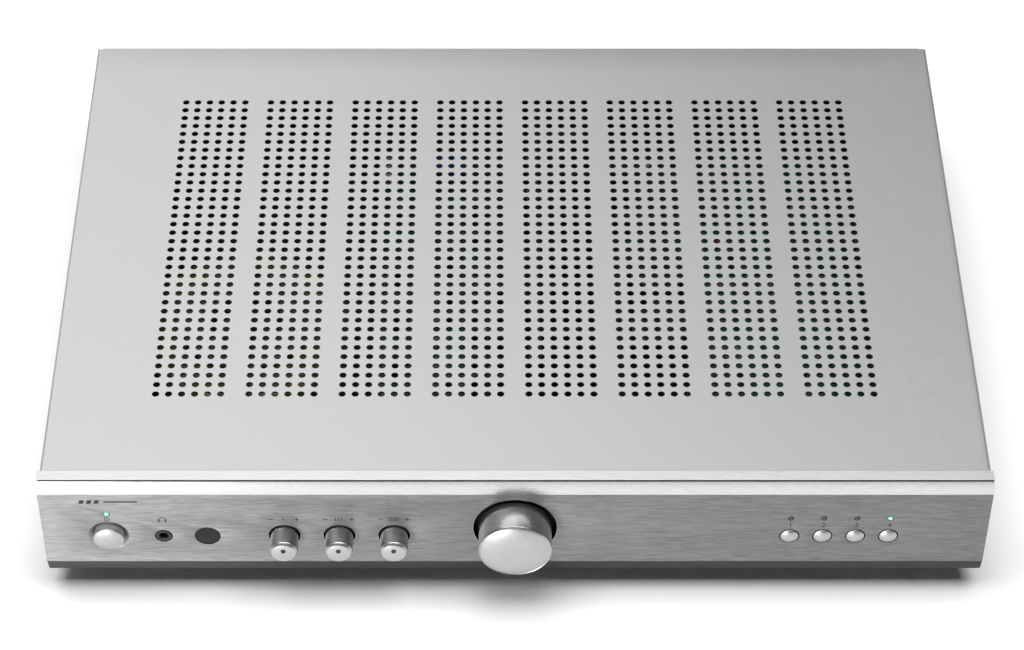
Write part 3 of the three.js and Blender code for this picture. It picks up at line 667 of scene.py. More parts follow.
def cover_skin():
    """The cover's outer skin: top with its holes, bends, sides and rear lip, as one open sheet."""
    low, high = box_mm("top_cover")
    bend_x, bend_y, bend_z = high.x - COVER_BEND, high.y - COVER_BEND, high.z - COVER_BEND
    relief = bend_x - 2.0  # half the lip's width, which ends short of the side bends
    first_x = [(b - (VENT_BANKS - 1) / 2) * VENT_BANK_PITCH - VENT_COLUMNS * VENT_PITCH / 2
               for b in range(VENT_BANKS)]
    xs = [x + VENT_PITCH * k for x in first_x for k in range(VENT_COLUMNS + 1)]
    right = arc_points((bend_x, bend_z), COVER_BEND, 90, 0, 5) + [(high.x, low.z)]
    left = [(-x, z) for x, z in reversed(right)]
    top = [(x, high.z) for x in (-relief, *xs, relief)]
    across = left + top + right
    rows = [low.y] + [VENT_FRONT_Y + VENT_PITCH * (k - 0.5) for k in range(VENT_ROWS + 1)]
    rows += [(rows[-1] + bend_y) / 2, bend_y]

    def is_vent(i, j):
        """Whether the cell to the right of column i and behind row j has a hole."""
        column = i - len(left) - 1
        return 0 < j <= VENT_ROWS and 0 <= column < len(xs) and column % (VENT_COLUMNS + 1) < VENT_COLUMNS

    bm = bmesh.new()
    grid = [[bm.verts.new((x, y, z)) for x, z in across] for y in rows]
    for j, (near, far) in enumerate(zip(grid, grid[1:])):
        for i in range(len(across) - 1):
            if is_vent(i, j):
                centre = (across[i][0] + VENT_PITCH / 2, rows[j] + VENT_PITCH / 2)
                vent_cell(bm, [near[i], near[i + 1], far[i + 1], far[i]], centre, high.z)
            else:
                strip(bm, near[i:i + 2], far[i:i + 2])
    previous = grid[-1][len(left):-len(right)]
    lip = arc_points((bend_y, bend_z), COVER_BEND, 90, 0, 5)[1:] + [(high.y, high.z - COVER_LIP)]
    for y, z in lip:
        current = [bm.verts.new((x, y, z)) for x, _ in top]
        strip(bm, previous, current)
        previous = current
    for side in (slice(0, 2), slice(-2, None)):
        strip(bm, grid[-1][side], [bm.verts.new((x, high.y, z)) for x, z in across[side]])
    bmesh.ops.recalc_face_normals(bm, faces=bm.faces)
    if max(bm.faces, key=lambda face: face.calc_center_median().z).normal.z < 0:
        bmesh.ops.reverse_faces(bm, faces=bm.faces)
    return bm


def top_cover():
    obj = piece("cover", cover_skin(), [SILVER_PAINT, VENT_HOLE_SHADE], ["top_cover"])
    # The rim faces, the vent holes' walls among them, take the painted shade.
    settled(obj, "SOLIDIFY", thickness=SHEET * MM, offset=-1, use_even_offset=True, material_offset_rim=1)
    obj.data.set_sharp_from_angle(angle=math.radians(32))


def front_panel_openings():
    """Cutters for the power button's dished recess and every round hole, drawn from the face inwards."""
    before, behind = -1, PANEL_WALL + 0.5
    tools = turned([(0, before), (10.2, before), (9.2, 0), (7.25, 2), (7.25, behind), (0, behind)])
    move(tools, at_face("power_button"))
    radii = {"power_led": 1.35, "headphone_jack": 3.85, "remote_sensor_window": 5.62, "volume_knob": 19.0}
    radii |= {f"{tone}_knob": 7.25 for tone in TONES}
    radii |= {f"source_button_{i}": 4.38 for i in SOURCES}
    radii |= {f"source_led_{i}": 1.15 for i in SOURCES}
    steps = {1.15: 28, 1.35: 32, 3.85: 64, 4.38: 64, 5.62: 72, 7.25: 80, 19.0: 128}
    for node, radius in radii.items():
        add(tools, rod(radius, before, behind, steps[radius]), at=at_face(node))
    return tools


def front_panel_blank():
    """The panel with its bevels, its groove and the pocket behind its face, but no openings."""
    half = box_mm("front_panel")[1].x
    groove_z = TOP_Z - GROOVE_DEPTH
    section = [
        (FACE_Y, FACE_BOTTOM_Z), (GROOVE_FRONT_Y, BASE_Z), (PANEL_EDGE_Y, BASE_Z), (PANEL_EDGE_Y, TOP_Z),
        (GROOVE_BACK_Y, TOP_Z), (GROOVE_BACK_Y, groove_z), (GROOVE_FRONT_Y, groove_z),
        (GROOVE_FRONT_Y, TOP_Z), (FACE_Y, FACE_TOP_Z),
    ]
    pocket = block((PANEL_RIM - half, FACE_Y + PANEL_WALL, BASE_Z + PANEL_RIM),
                   (half - PANEL_RIM, PANEL_EDGE_Y + 1, TOP_Z - PANEL_RIM))
    return baked(prism(section, -half, half, "X"), pocket)


def finish_front_panel(bm):
    """Paints the panel's faces, with painted highlight on the top bevel, land and opening edges and painted
    shade on the bottom bevel, in the openings and on the small rims; a later paint covers an earlier one.
    """
    half = box_mm("front_panel")[1].x
    dish = (middle_mm("power_button"), 9.5)
    rims = [(middle_mm(node), 6.2) for node in ("headphone_jack", "remote_sensor_window")]
    rims += [(middle_mm(f"source_button_{i}"), 5.2) for i in SOURCES]
    rims += [(middle_mm(node), 1.8) for node in ("power_led", *(f"source_led_{i}" for i in SOURCES))]

    def finish(material, test):
        paint(bm, PANEL_FINISHES_AND_SHADES.index(material), test)

    def near(at, centre, reach):
        return math.hypot(at.x - centre.x, at.z - centre.z) < reach

    def in_groove(at, normal):
        return FACE_TOP_Z < at.z < TOP_Z - 0.05 and GROOVE_FRONT_Y - 0.02 < at.y < GROOVE_BACK_Y + 0.02

    def in_face(at):
        return abs(at.x) < half - PANEL_RIM + 0.1 and FACE_BOTTOM_Z + 0.3 < at.z < FACE_TOP_Z - 0.3

    def on_edge(at, normal):
        return at.y < FACE_Y + 0.3 and abs(normal.y) < 0.97

    # Top bevel: bright-cut chamfer, lighter as painted highlight.
    finish(BRIGHT_CUT_AND_HIGHLIGHT, lambda at, normal: at.z > FACE_TOP_Z - 0.1 and at.y < GROOVE_FRONT_Y + 0.05)
    # Top land: painted highlight.
    finish(LAND_HIGHLIGHT, lambda at, normal: at.z > TOP_Z - PANEL_RIM / 2 and at.y > GROOVE_BACK_Y - 0.05)
    # Bottom bevel: painted shade.
    finish(SHADED_ALUMINIUM, lambda at, normal: at.z < FACE_BOTTOM_Z + 0.1 and normal.y < -0.5)
    finish(BRUSHED, in_groove)
    # Walls of the openings: painted shade.
    finish(OPENING_SHADE, lambda at, normal: in_face(at) and at.y > FACE_Y + 0.2 and abs(normal.y) < 0.3)
    # Edges of the openings: a thin painted highlight rim.
    finish(BRIGHT_CUT_AND_HIGHLIGHT, lambda at, normal: in_face(at) and on_edge(at, normal))
    # Rims round the buttons, lamps, jack and window: painted shade.
    finish(OPENING_SHADE, lambda at, normal: on_edge(at, normal) and any(near(at, *rim) for rim in rims))
    finish(SATIN, lambda at, normal: at.y > FACE_Y + 0.05 and 0.4 < abs(normal.y) < 0.9 and near(at, *dish))


def front_panel():
    bm = baked(front_panel_blank(), front_panel_openings(), 0.22,
               keep=lambda edge: all(v.co.y > PANEL_EDGE_Y - 0.1 for v in edge.verts))
    finish_front_panel(bm)
    obj = piece("front_panel_machined", bm, PANEL_FINISHES_AND_SHADES, ["front_panel"], smooth=60,
                flat=True)
    uv = obj.data.uv_layers.new(name="UVMap")
    for loop in obj.data.loops:
        at = obj.data.vertices[loop.vertex_index].co
        uv.data[loop.index].uv = (at.x, at.z + at.y)


def foot(name):
    body = turned([
        (0, 2.5), (15.2, 2.5), (15.6, 3), (16.8, 3), (19.6, BASE_Z - 0.3, 0.6), (19.9, BASE_Z),
        (2.6, BASE_Z), (2.6, BASE_Z + 7), (0, BASE_Z + 7),
    ], 96, 0.3, "Z")
    add(body, turned([(0, 0), (15.0, 0, 0.8), (15.2, 2.9), (0, 2.9)], 96, 0.3, "Z"), 1)
    piece(f"{name}_moulded", body, [BLACK_PLASTIC, RUBBER], [name], middle_mm(name, z=0))


def cross_recess(radius, depth):
    """Cutter for a cross-head screw, opening along +Z."""
    arm, width = radius * 0.62, radius * 0.2
    outline = [(x * c - y * s, x * s + y * c) for c, s in ((1, 0), (0, 1), (-1, 0), (0, -1))
               for x, y in ((width, width), (width, arm), (-width, arm))]
    return prism(outline, -depth, depth, "Z")


def screw(name, at, direction, radius, height, replaces=(), countersunk=False):
    """A cross-head screw; its head stands out along the direction."""
    if countersunk:
        top = 0.4
        rim = [(0, -height), (radius * 0.55, -height), (radius, 0), (radius * 0.9, 0.2), (0, top)]
    else:
        top = height * 1.1
        rim = [(0, -0.3), (radius, -0.3, 0.1), (radius, height * 0.45, 0.5), (radius * 0.6, height),
               (0, top)]
    bm = baked(turned(rim, 48, 0.12, "Z"), move(cross_recess(radius, height * 0.8), (0, 0, top)))
    turn = Vector((0, 0, 1)).rotation_difference(Vector(direction)).to_matrix()
    bmesh.ops.rotate(bm, verts=bm.verts, matrix=turn)
    piece(name, bm, [SCREW_STEEL], replaces, at)


def case_screws():
    high = box_mm("top_cover")[1]
    for side_name, side in (("left", -1), ("right", 1)):
        for end in ("front", "rear"):
            node = f"cover_screw_{side_name}_{end}"
            at = middle_mm(node, x=side * (high.x - 0.05))
            screw(f"{node}_head", at, (side, 0, 0), 3.4, 0.8, [node], countersunk=True)
    for i, x in enumerate((-190, 0, 190)):
        screw(f"lip_screw_{i + 1}", (x, high.y, TOP_Z - 8.5), (0, 1, 0), 2.9, 1.2)


top_cover()
front_panel()
for place in ("front_left", "front_right", "rear_left", "rear_right"):
    foot(f"foot_{place}")
case_screws()
for node in ("sub_panel", "chassis_pan", "rear_panel"):
    dress(node, BLACK_STEEL)

# ---------------- front controls


def dome_points(rim_radius, tip, rim, steps, fullness=2.0):
    """Profile of a shallow dome from its tip to its rim; a fuller one turns down more at its rim."""
    parts = [k / steps for k in range(steps + 1)]
    return [(rim_radius * part, tip + (rim - tip) * part ** fullness, 0) for part in parts]


def softened(dome, ease):
    """The same dome with a rounded rim."""
    return [*dome[:-1], (*dome[-1][:2], ease)]


def volume_knob():
    tip = box_mm("volume_knob")[0].y - FACE_Y
    profile = [
        *dome_points(15.7, tip, -13.95, 20, 2.4), (15.8, -13.85, 0.05), (16.1, -14.1, 0.1),
        (16.48, -13.7, 0.25), (16.6, -13.0, 0.3), (16.6, 2.6, 0.3), (16.4, 3), (14.6, 3), (14.6, -11),
        (5, -11), (5, 2.5), (3.1, 2.5), (3.1, -8), (0, -8),
    ]
    bm = turned(profile, 160, 0.3)
    paint(bm, 1, lambda at, normal: at.y > -13.9 and math.hypot(at.x, at.z) > 16.1)
    piece("volume_knob_turned", bm, [SATIN, SATIN_SIDE], ["volume_knob"],
          at_face("volume_knob"), "volume")


def tone_knob(tone):
    node = f"{tone}_knob"
    dimple_z = 2.1
    bm = turned([*softened(dome_points(5.4, -11.5, -10.6, 8), 0.4), (6.4, -9.5, 0.9), (6.4, 2.7), (6.2, 3),
                 (3.1, 3), (3.1, -6), (0, -6)], 96, 0.25)
    dimple = turned([(0, -1), (1.15, -1), (1.15, 0), (0.15, 0.85), (0, 0.9)], 32)
    bm = baked(bm, move(dimple, (0, -11.45, dimple_z)))
    paint(bm, 1, lambda at, normal: at.y > -9.4 and math.hypot(at.x, at.z) > 6)
    # Walls of the dimple: painted shade.
    paint(bm, 2, lambda at, normal: -11.4 < at.y < -10 and math.hypot(at.x, at.z - dimple_z) < 1.2)
    piece(f"{node}_turned", bm, [SATIN, SATIN_SIDE, SHADED_ALUMINIUM], [node],
          at_face(node), tone)


def shaft(control, front, back):
    """Steel shaft with a flat for the knob and a slot in its end."""
    node = f"{control}_shaft"
    bm = turned([(0, front), (2.6, front), (3, front + 0.4), (3, back - 0.4), (2.6, back), (0, back)],
                48, 0.1)
    flat = block((-4, front - 1, 1.9), (4, front + 7, 4))
    add(flat, block((-0.5, front - 1, -4), (0.5, front + 2, 1.5)))
    piece(f"{node}_cut", baked(bm, flat), [ZINC], [node], at_face(node), control)


def push_button(node, body, radius, rim, tip, collar, stem):
    front = PANEL_WALL + GAP
    profile = [*softened(dome_points(radius, tip, rim, 12), 0.35), (radius, front), (collar, front),
               (collar, front + 1), (stem, front + 1), (stem, 14), (0, 14)]
    piece(f"{node}_cap", turned(profile, 96, 0.15), [SATIN], [node],
          at_face(node), body)


def light_guide(node, radius, end, lit):
    bm = turned([*dome_points(radius, -0.35, -0.02, 6), (radius, end), (0, end)], 40)
    piece(f"{node}_guide", bm, [LIT if lit else UNLIT], [node],
          at_face(node))


def headphone_jack():
    socket = turned([(1.9, 14), (1.9, 0.5), (2.3, -0.15), (3.4, -0.2), (3.7, 0.1), (3.7, 11), (2.6, 11),
                     (2.6, 14), (1.9, 14)], 72, 0.12)
    add(socket, pipe(1.55, 1.85, 3, 13, 48, 0), 1)
    add(socket, block((-6, 10.5, -6), (6, 25, 6), 0.5))
    piece("headphone_socket", socket, [BLACK_PLASTIC, GOLD], ["headphone_jack"],
          at_face("headphone_jack"))


def sensor_window():
    bm = turned([(0, 0.15), (5.35, 0.15), (5.5, 0.3), (5.5, 4.3), (7.3, 4.3), (7.3, 5.7), (0, 5.7)], 96, 0.1)
    piece("sensor_window_lens", bm, [SMOKED], ["remote_sensor_window"],
          at_face("remote_sensor_window"))


volume_knob()
shaft("volume", -7.6, 20.6)
for tone in TONES:
    tone_knob(tone)
    shaft(tone, -5.6, 16.8)
push_button("power_button", "power_key", 7.0, -2.6, -4.1, 8.4, 3.0)
light_guide("power_led", 1.2, 17.0, True)
for i in SOURCES:
    push_button(f"source_button_{i}", f"source_key_{i}", 4.1, -0.2, -1.5, 5.6, 1.8)
    light_guide(f"source_led_{i}", 1.05, 18.0, i == SOURCES[-1])
headphone_jack()
sensor_window()

# ---------------- printed marks

PRINT_LIFT = 0.03  # how far printed ink stands off the face
PRINT_ROOT = 0.02  # how far it reaches into the face


def ink(name, shapes, rear=False):
    """Flat marks on the front or rear face: each shape is an outline of [x, z] points."""
    reach = (REAR_Y - PRINT_ROOT, REAR_Y + PRINT_LIFT) if rear else (FACE_Y - PRINT_LIFT, FACE_Y + PRINT_ROOT)
    bm = bmesh.new()
    for outline in shapes:
        add(bm, prism(outline, *reach))
    piece(name, bm, [PRINT_WHITE if rear else PRINT])


def bar_shape(x0, z0, x1, z1, width):
    """A straight stroke between two points."""
    along = Vector((x1 - x0, z1 - z0)).normalized() * width / 2
    side = Vector((-along.y, along.x))
    return [(x0 + side.x, z0 + side.y), (x0 - side.x, z0 - side.y), (x1 - side.x, z1 - side.y),
            (x1 + side.x, z1 + side.y)]


def level_bar(x, z, reach, width):
    return bar_shape(x - reach, z, x + reach, z, width)


def upright_bar(x, z, reach, width):
    return bar_shape(x, z - reach, x, z + reach, width)


def line_shapes(points, width):
    """A line through points, as one stroke for each stretch."""
    return [bar_shape(*a, *b, width) for a, b in zip(points, points[1:])]


def front_marks():
    """Symbols for power, headphones and the tone controls, and a plain badge."""
    z = 50.0
    x = middle_mm("power_button").x
    ring = line_shapes(arc_points((x, z), 1.1, 130, 410, 20), 0.4)
    ink("mark_power", [*ring, upright_bar(x, z + 0.9, 0.8, 0.4)])
    x = middle_mm("headphone_jack").x
    cups = [upright_bar(x + side, z - 1.1, 0.7, 0.85) for side in (-1.55, 1.55)]
    ink("mark_headphones", line_shapes(arc_points((x, z - 0.4), 1.6, 0, 180, 20), 0.4) + cups)
    ticks = {"balance": (0,), "bass": (-1.4, 0, 1.4), "treble": (-1.8, -0.9, 0, 0.9, 1.8)}
    for tone in TONES:
        x = middle_mm(f"{tone}_knob").x
        shapes = [level_bar(x + side, z, 1.2, 0.45) for side in (-6, 6)]
        shapes.append(upright_bar(x + 6, z, 1.2, 0.45))
        shapes += [upright_bar(x + tick, z, 1.1, 0.36) for tick in ticks[tone]]
        ink(f"mark_{tone}", shapes)
    for k in range(3):
        x = -197 + 3.4 * k
        ink(f"mark_plate_{k + 1}", [[(x, 60.6), (x + 2.2, 60.6), (x + 2.9, 63), (x + 0.7, 63)]])
    ink("mark_plate_line", [level_bar(-178, 61.8, 7.5, 0.9)])


def numeral(name, text, at, size, rear=False):
    """A printed numeral on the front or rear face."""
    curve = bpy.data.curves.new(name, "FONT")
    curve.body = text
    curve.size = size * MM
    curve.align_x = "CENTER"
    curve.align_y = "CENTER"
    curve.extrude = PRINT_LIFT * MM
    written = linked(name, curve)
    written.rotation_euler = (math.pi / 2, 0, math.pi if rear else 0)
    written.location = Vector(at) * MM
    bpy.context.view_layer.update()
    mesh = bpy.data.meshes.new_from_object(written.evaluated_get(bpy.context.evaluated_depsgraph_get()))
    mesh.transform(written.matrix_world)
    bpy.data.objects.remove(written)
    mesh.materials.clear()
    mesh.materials.append(PRINT_WHITE if rear else PRINT)
    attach(linked(name, mesh), "case")


front_marks()
for i in SOURCES:
    numeral(f"mark_source_{i}", str(i), (middle_mm(f"source_button_{i}").x, FACE_Y, 45.9), 4.2)

# ---------------- rear connectors


def mains_inlet():
    """Appliance inlet: flange, shrouded cavity, three blades and their solder tabs."""
    at = middle_mm("mains_inlet", y=0)
    mouth = box_mm("mains_inlet")[1].y
    flange_y, floor_y, beyond = mouth - 2.6, mouth - 16, mouth + 1
    w, h, corner = 12.2, 8.2, 4.5
    flange_half, shell_half = (25, 12), (13.6, 9.8)
    cavity = [(-w, -h), (w, -h), (w, h - corner), (w - corner, h), (-w + corner, h), (-w, h - corner)]
    screw_xs = (-20, 20)
    tools = prism(cavity, mouth - 4, beyond)
    for x in screw_xs:
        add(tools, rod(1.7, mouth - 4, beyond, 24), at=(x, 0, 0))
    bm = baked(prism(rounded_outline(*flange_half, 2.5), flange_y, mouth), tools, 0.3)
    shell = prism(rounded_outline(*shell_half, 2), floor_y - 3, flange_y)
    add(bm, baked(shell, prism(cavity, floor_y, beyond), 0.2))
    for x, z in ((-7, -2), (0, 2), (7, -2)):
        add(bm, block((x - 1, floor_y - 1, z - 2), (x + 1, mouth - 2, z + 2), 0.4), 1)
        add(bm, block((x - 0.5, floor_y - 12, z - 3), (x + 0.5, floor_y - 2.5, z + 3), 0.15), 1)
    piece("mains_inlet_moulding", bm, [BLACK_PLASTIC, ZINC], ["mains_inlet"], at)
    for i, x in enumerate(screw_xs):
        screw(f"mains_inlet_screw_{i + 1}", (at.x + x, mouth, at.z), (0, 1, 0), 2.9, 1.3)


def speaker_terminals():
    """Moulded carrier with four gold-plated threaded studs and coloured collars."""
    front, end, bore_end = REAR_Y + GAP, 168.0, 156.0
    back = front + 2.5
    low, high = box_mm("speaker_terminals")
    middle = middle_mm("speaker_terminals", y=0)
    half = (high.x - low.x) / 2
    bm = baked(prism(rounded_outline(half, 14, 3), front, back), bevel=0.5)
    add(bm, baked(prism(rounded_outline(half - 5.3, 8.7, 1), front - 10, front), bevel=0.3))
    for i in TERMINALS:
        at = (middle_mm(f"terminal_cap_{i}").x - middle.x, 0, 0)
        thread = thread_points(3.0, 2.7, back + 1.6, 1.0, 0.5, 14)
        stud = turned([(0, front + 0.5), (3.0, front + 0.5), *thread, (3.0, end - 0.3), (2.7, end),
                       (2.1, end), (2.0, end - 0.3), (2.0, bore_end), (0, bore_end)], 40)
        add(bm, stud, 1, at)
        add(bm, pipe(3.1, 5.5, back - 0.2, back + 1.5, 48, 0.25), 2 if i % 2 else 0, at)
    piece("speaker_terminal_carrier", bm, [BLACK_PLASTIC, GOLD, RED_PLASTIC],
          ["speaker_terminals"], middle)


def terminal_cap(i):
    node = f"terminal_cap_{i}"
    front, back = box_mm(node)[0].y, box_mm(node)[1].y
    profile = [
        (3.3, front), (5.5, front), (5.5, front + 2), (6.9, front + 3), (7, back - 1.2), (6, back),
        (4.6, back), (4.4, back - 0.7), (2.4, back - 0.7), (2.2, back - 1), (2.2, back - 3.5),
        (3.3, back - 3.5), (3.3, front),
    ]
    bm = fluted(turned(profile, 144, 0.25), 18, 0.5, 6.2)
    piece(f"{node}_fluted", bm, [RED_PLASTIC if i % 2 else BLACK_PLASTIC], [node],
          middle_mm(node, y=0), f"terminal_{i}")


def input_sockets():
    """Phono sockets in pairs: gold shells, white above and red below."""
    low, high = box_mm("input_jacks")
    end = high.y
    bm = block((low.x, low.y, 24), (high.x, REAR_Y - 1.3, 60), 0.5)
    for x in SOCKET_XS:
        for row, z in enumerate((50.5, 33.5)):
            at = (x, 0, z)
            add(bm, rod(5.3, REAR_Y - 5, REAR_Y + 1.2, 48, 0.25), 0, at)
            add(bm, pipe(3.4, 4.1, REAR_Y + 1, end, 48, 0.2), 1, at)
            core = turned([(0, REAR_Y + 1.1), (3.38, REAR_Y + 1.1), (3.38, end - 0.5), (1.9, end - 0.5),
                           (1.6, end - 0.8), (1.6, REAR_Y + 2), (0, REAR_Y + 2)], 40, 0.1)
            add(bm, core, 2 + row, at)
    piece("input_socket_block", bm, [BLACK_PLASTIC, GOLD, WHITE_PLASTIC, RED_PLASTIC],
          ["input_jacks"])
    for i, (x, after) in enumerate(zip(SOCKET_XS, SOCKET_XS[1:])):
        screw(f"input_socket_screw_{i + 1}", ((x + after) / 2, REAR_Y, 42), (0, 1, 0), 2.4, 1.1)


def ground_screw():
    head = REAR_Y + 2.2
    thread = thread_points(1.7, 1.45, REAR_Y - 7.6, 0.75, 0.4, 12)
    bm = turned([(0, REAR_Y - 8), (1.4, REAR_Y - 8), *thread, (1.7, head), (4.4, head), (4.6, head + 0.8),
                 (5, head + 1.2), (5, head + 6), (4.6, head + 6.8), (0, head + 6.8)], 120)
    bm = baked(fluted(bm, 30, 0.25, 4.8), block((-6, head + 5.4, -0.6), (6, head + 8, 0.6)))
    piece("ground_screw_knurled", bm, [SCREW_STEEL], ["ground_screw"],
          middle_mm("ground_screw", y=0), "ground_terminal")


def rear_marks():
    """Frames and numbers of the inputs, plus and minus, earth and mains signs."""
    half, low, high = 9, 26, 58
    for i, x in enumerate(SOCKET_XS):
        left, right = x - half, x + half
        corners = [(left, high), (left, low), (right, low), (right, high), (left, high)]
        ink(f"mark_input_{i + 1}_frame", line_shapes(corners, 0.4), True)
        numeral(f"mark_input_{i + 1}", str(i + 1), (x, REAR_Y, 21.5), 5.0, True)
    xs = [middle_mm(f"terminal_cap_{i}").x for i in TERMINALS]
    stroke = (23.5, 1.6, 0.6)  # height, reach and width of the signs' bars
    signs = [level_bar(x, *stroke) for x in xs]
    ink("mark_speaker_signs", signs + [upright_bar(x, *stroke) for x in xs[::2]], True)
    x = middle_mm("ground_screw").x
    earth = [level_bar(x, 43.8 - 0.9 * k, 2.2 - 0.8 * k, 0.45) for k in range(3)]
    ink("mark_ground", [upright_bar(x, 45.2, 1.4, 0.45), *earth], True)
    x = middle_mm("mains_inlet").x
    wave = [(x - 3 + k * 0.5, 25.5 + 1.1 * math.sin(2 * math.pi * k / 12)) for k in range(13)]
    ink("mark_mains", line_shapes(wave, 0.5), True)


mains_inlet()
speaker_terminals()
for i in TERMINALS:
    terminal_cap(i)
input_sockets()
ground_screw()
rear_marks()
for i, x in enumerate((-205, -130, 30, 205)):
    screw(f"rear_panel_screw_{i + 1}", (x, REAR_Y, 20), (0, 1, 0), 2.9, 1.2)

# ---------------- inside


def electrolytic(radius, height):
    """Small can capacitor: crimped sleeve with a stripe and a bare metal top."""
    bm = turned([(0, 0), (radius - 0.2, 0), (radius, 0.6, 0.2), (radius - 0.3, 1.6, 0.2), (radius, 2.4, 0.2),
                 (radius, height, 0.4), (radius - 0.7, height, 0.1), (radius - 0.8, height - 0.25),
                 (0, height - 0.25)], 36, 0.1, "Z")
    paint(bm, 1, lambda at, normal: at.z > height - 0.4 and math.hypot(at.x, at.y) < radius - 0.7)
    paint(bm, 2, lambda at, normal: abs(normal.z) < 0.3 and at.x > radius * 0.85)
    return bm


def main_board():
    low, high = box_mm("main_board")
    tools = bmesh.new()
    for x, y in BOARD_SCREWS:
        add(tools, rod(1.7, -1, 3, 24, axis="Z"), at=(x, y, low.z))
    board = baked(block(low, high), tools, 0.15)
    piece("main_board_etched", board, [BOARD_GREEN], ["main_board"])
    for i, (x, y) in enumerate(BOARD_SCREWS):
        screw(f"board_screw_{i + 1}", (x, y, BOARD_TOP_Z), (0, 0, 1), 3.0, 1.6)


def board_capacitors():
    dice = random.Random(11)
    bm = bmesh.new()
    for x in (-57, -44, -31, -18, -7):
        for y in range(-66, 84, 15):
            if dice.random() < 0.62:
                radius = dice.choice((3.2, 4.0, 5.0))
                add(bm, electrolytic(radius, radius * 2.6), at=(x, y + dice.uniform(-2, 2), BOARD_TOP_Z))
    for y in (62, 78, 94):
        add(bm, electrolytic(5.0, 13), at=(56, y, BOARD_TOP_Z))
    # The small cans' metal tops take the darkened zinc: painted shade.
    piece("board_capacitors", bm, [SLEEVE, SHADED_ZINC, PRINT_WHITE])


def resistor():
    """Axial resistor lying along Y, with colour bands and bent leads."""
    bm = turned([(0, -3.2), (0.8, -3.2), (1.1, -2.8), (1.1, -1.8), (0.9, -1.4), (0.9, 1.4), (1.1, 1.8),
                 (1.1, 2.8), (0.8, 3.2), (0, 3.2)], 16, 0.1)
    for y in (-0.9, 0.1, 1.0):
        add(bm, rod(0.95, y - 0.2, y + 0.2, 16), 2)
    for side in (-1, 1):
        add(bm, tube([(0, side * 3, 0), (0, side * 4.2, -0.1), (0, side * 4.6, -1.3)], 0.3, 8), 1)
    return bm


def board_resistors():
    dice = random.Random(23)
    bm = bmesh.new()
    z = BOARD_TOP_Z + 1.15
    for x in range(94, 184, 5):
        for y in (-84, -58, -30, -4, 24, 52, 80, 104):
            if dice.random() < 0.55:
                add(bm, resistor(), at=(x + dice.uniform(-0.6, 0.6), y, z))
    for y in range(-80, 104, 11):
        add(bm, resistor(), at=(48, y, z))
    piece("board_resistors", bm, [RESISTOR, ZINC, RED_PLASTIC], smooth=40)


def chip(length, width, pitch=1.27):
    """Small integrated circuit with a row of legs along each side and a mark at its first leg."""
    bm = block((-width / 2, -length / 2, 0.25), (width / 2, length / 2, 1.9), 0.2)
    add(bm, rod(0.5, 1.88, 1.93, 16, axis="Z"), 1, (0, length / 2 - 1, 0))
    for k in range(1, int(length / pitch)):
        y = -length / 2 + pitch * k
        for side in (-1, 1):
            add(bm, block((side * width / 2 - 0.2, y - 0.2, 0), (side * (width / 2 + 0.9), y + 0.2, 0.9)), 1)
    return bm


def board_chips():
    bm = bmesh.new()
    for x, y in ((110, -44), (140, -44), (170, -44), (110, 38), (140, 38), (170, 38), (124, 66), (156, 92)):
        add(bm, chip(10.4, 4.2), at=(x, y, BOARD_TOP_Z))
    piece("board_chips", bm, [BLACK_PLASTIC, ZINC])


def plug(count, pitch=2.5):
    """White wire-to-board plug with its pins."""
    half = (count * pitch + 2.4) / 2
    bm = baked(block((-3, -half, 0), (3, half, 7)), block((-2.2, 0.8 - half, 3), (2.2, half - 0.8, 9)), 0.25)
    for k in range(count):
        y = (k - (count - 1) / 2) * pitch
        add(bm, block((-0.32, y - 0.32, 2.5), (0.32, y + 0.32, 6.4)), 1)
    return bm


def board_plugs():
    bm = bmesh.new()
    for x, y, count in ((-62, -84, 4), (-62, 104, 6), (40, -92, 5), (56, -78, 4)):
        add(bm, plug(count), at=(x, y, BOARD_TOP_Z))
    piece("board_plugs", bm, [WHITE_PLASTIC, ZINC])


def transformer():
    """Toroid wrapped in overlapping turns of polyester tape."""
    low, high = box_mm("toroidal_transformer")
    inner, outer, soft = 17, 52, 7
    top = high.z - low.z - soft
    section = []
    for quarter, centre in enumerate(((inner, soft), (outer, soft), (outer, top), (inner, top))):
        start = 180 + 90 * quarter
        x = centre[0] + (soft if centre[0] == inner else -soft)
        section += arc_points((x, centre[1]), soft, start, start + 90, 8)
    bm = turned([*section, section[0]], 240, axis="Z")
    bm.normal_update()
    shifts = []
    for vert in bm.verts:
        along = math.degrees(math.atan2(vert.co.y, vert.co.x)) + 0.12 * vert.co.z
        shifts.append(vert.normal * -0.45 * ((along / 9) % 1))
    for vert, shift in zip(bm.verts, shifts):
        vert.co += shift
    piece("transformer_wound", bm, [TAPE], ["toroidal_transformer"],
          middle_mm("toroidal_transformer", z=low.z))


def transformer_clamp():
    low, high = box_mm("transformer_clamp")
    top = high.z - low.z - 0.5
    bm = turned([(3.2, top - 7), (14, top - 7), (18, top - 1), (32, top - 1), (32, top + 0.6),
                 (17, top + 0.6), (13, top - 5.4), (3.2, top - 5.4), (3.2, top - 7)], 96, 0.4, "Z")
    add(bm, hexagon(9.6, top - 5.3, top - 0.5, "Z"))
    thread = thread_points(3.0, 2.7, 1, 1.2, 0.6, 30)
    add(bm, turned([(0, 0), (2.6, 0), *thread, (2.9, top - 5), (2.9, top), (2.6, top + 0.5), (0, top + 0.5)],
                   32, axis="Z"))
    # The clamp's zinc is darkened: painted shade.
    piece("transformer_clamp_dished", bm, [SHADED_ZINC], ["transformer_clamp"],
          middle_mm("transformer_clamp", z=low.z))


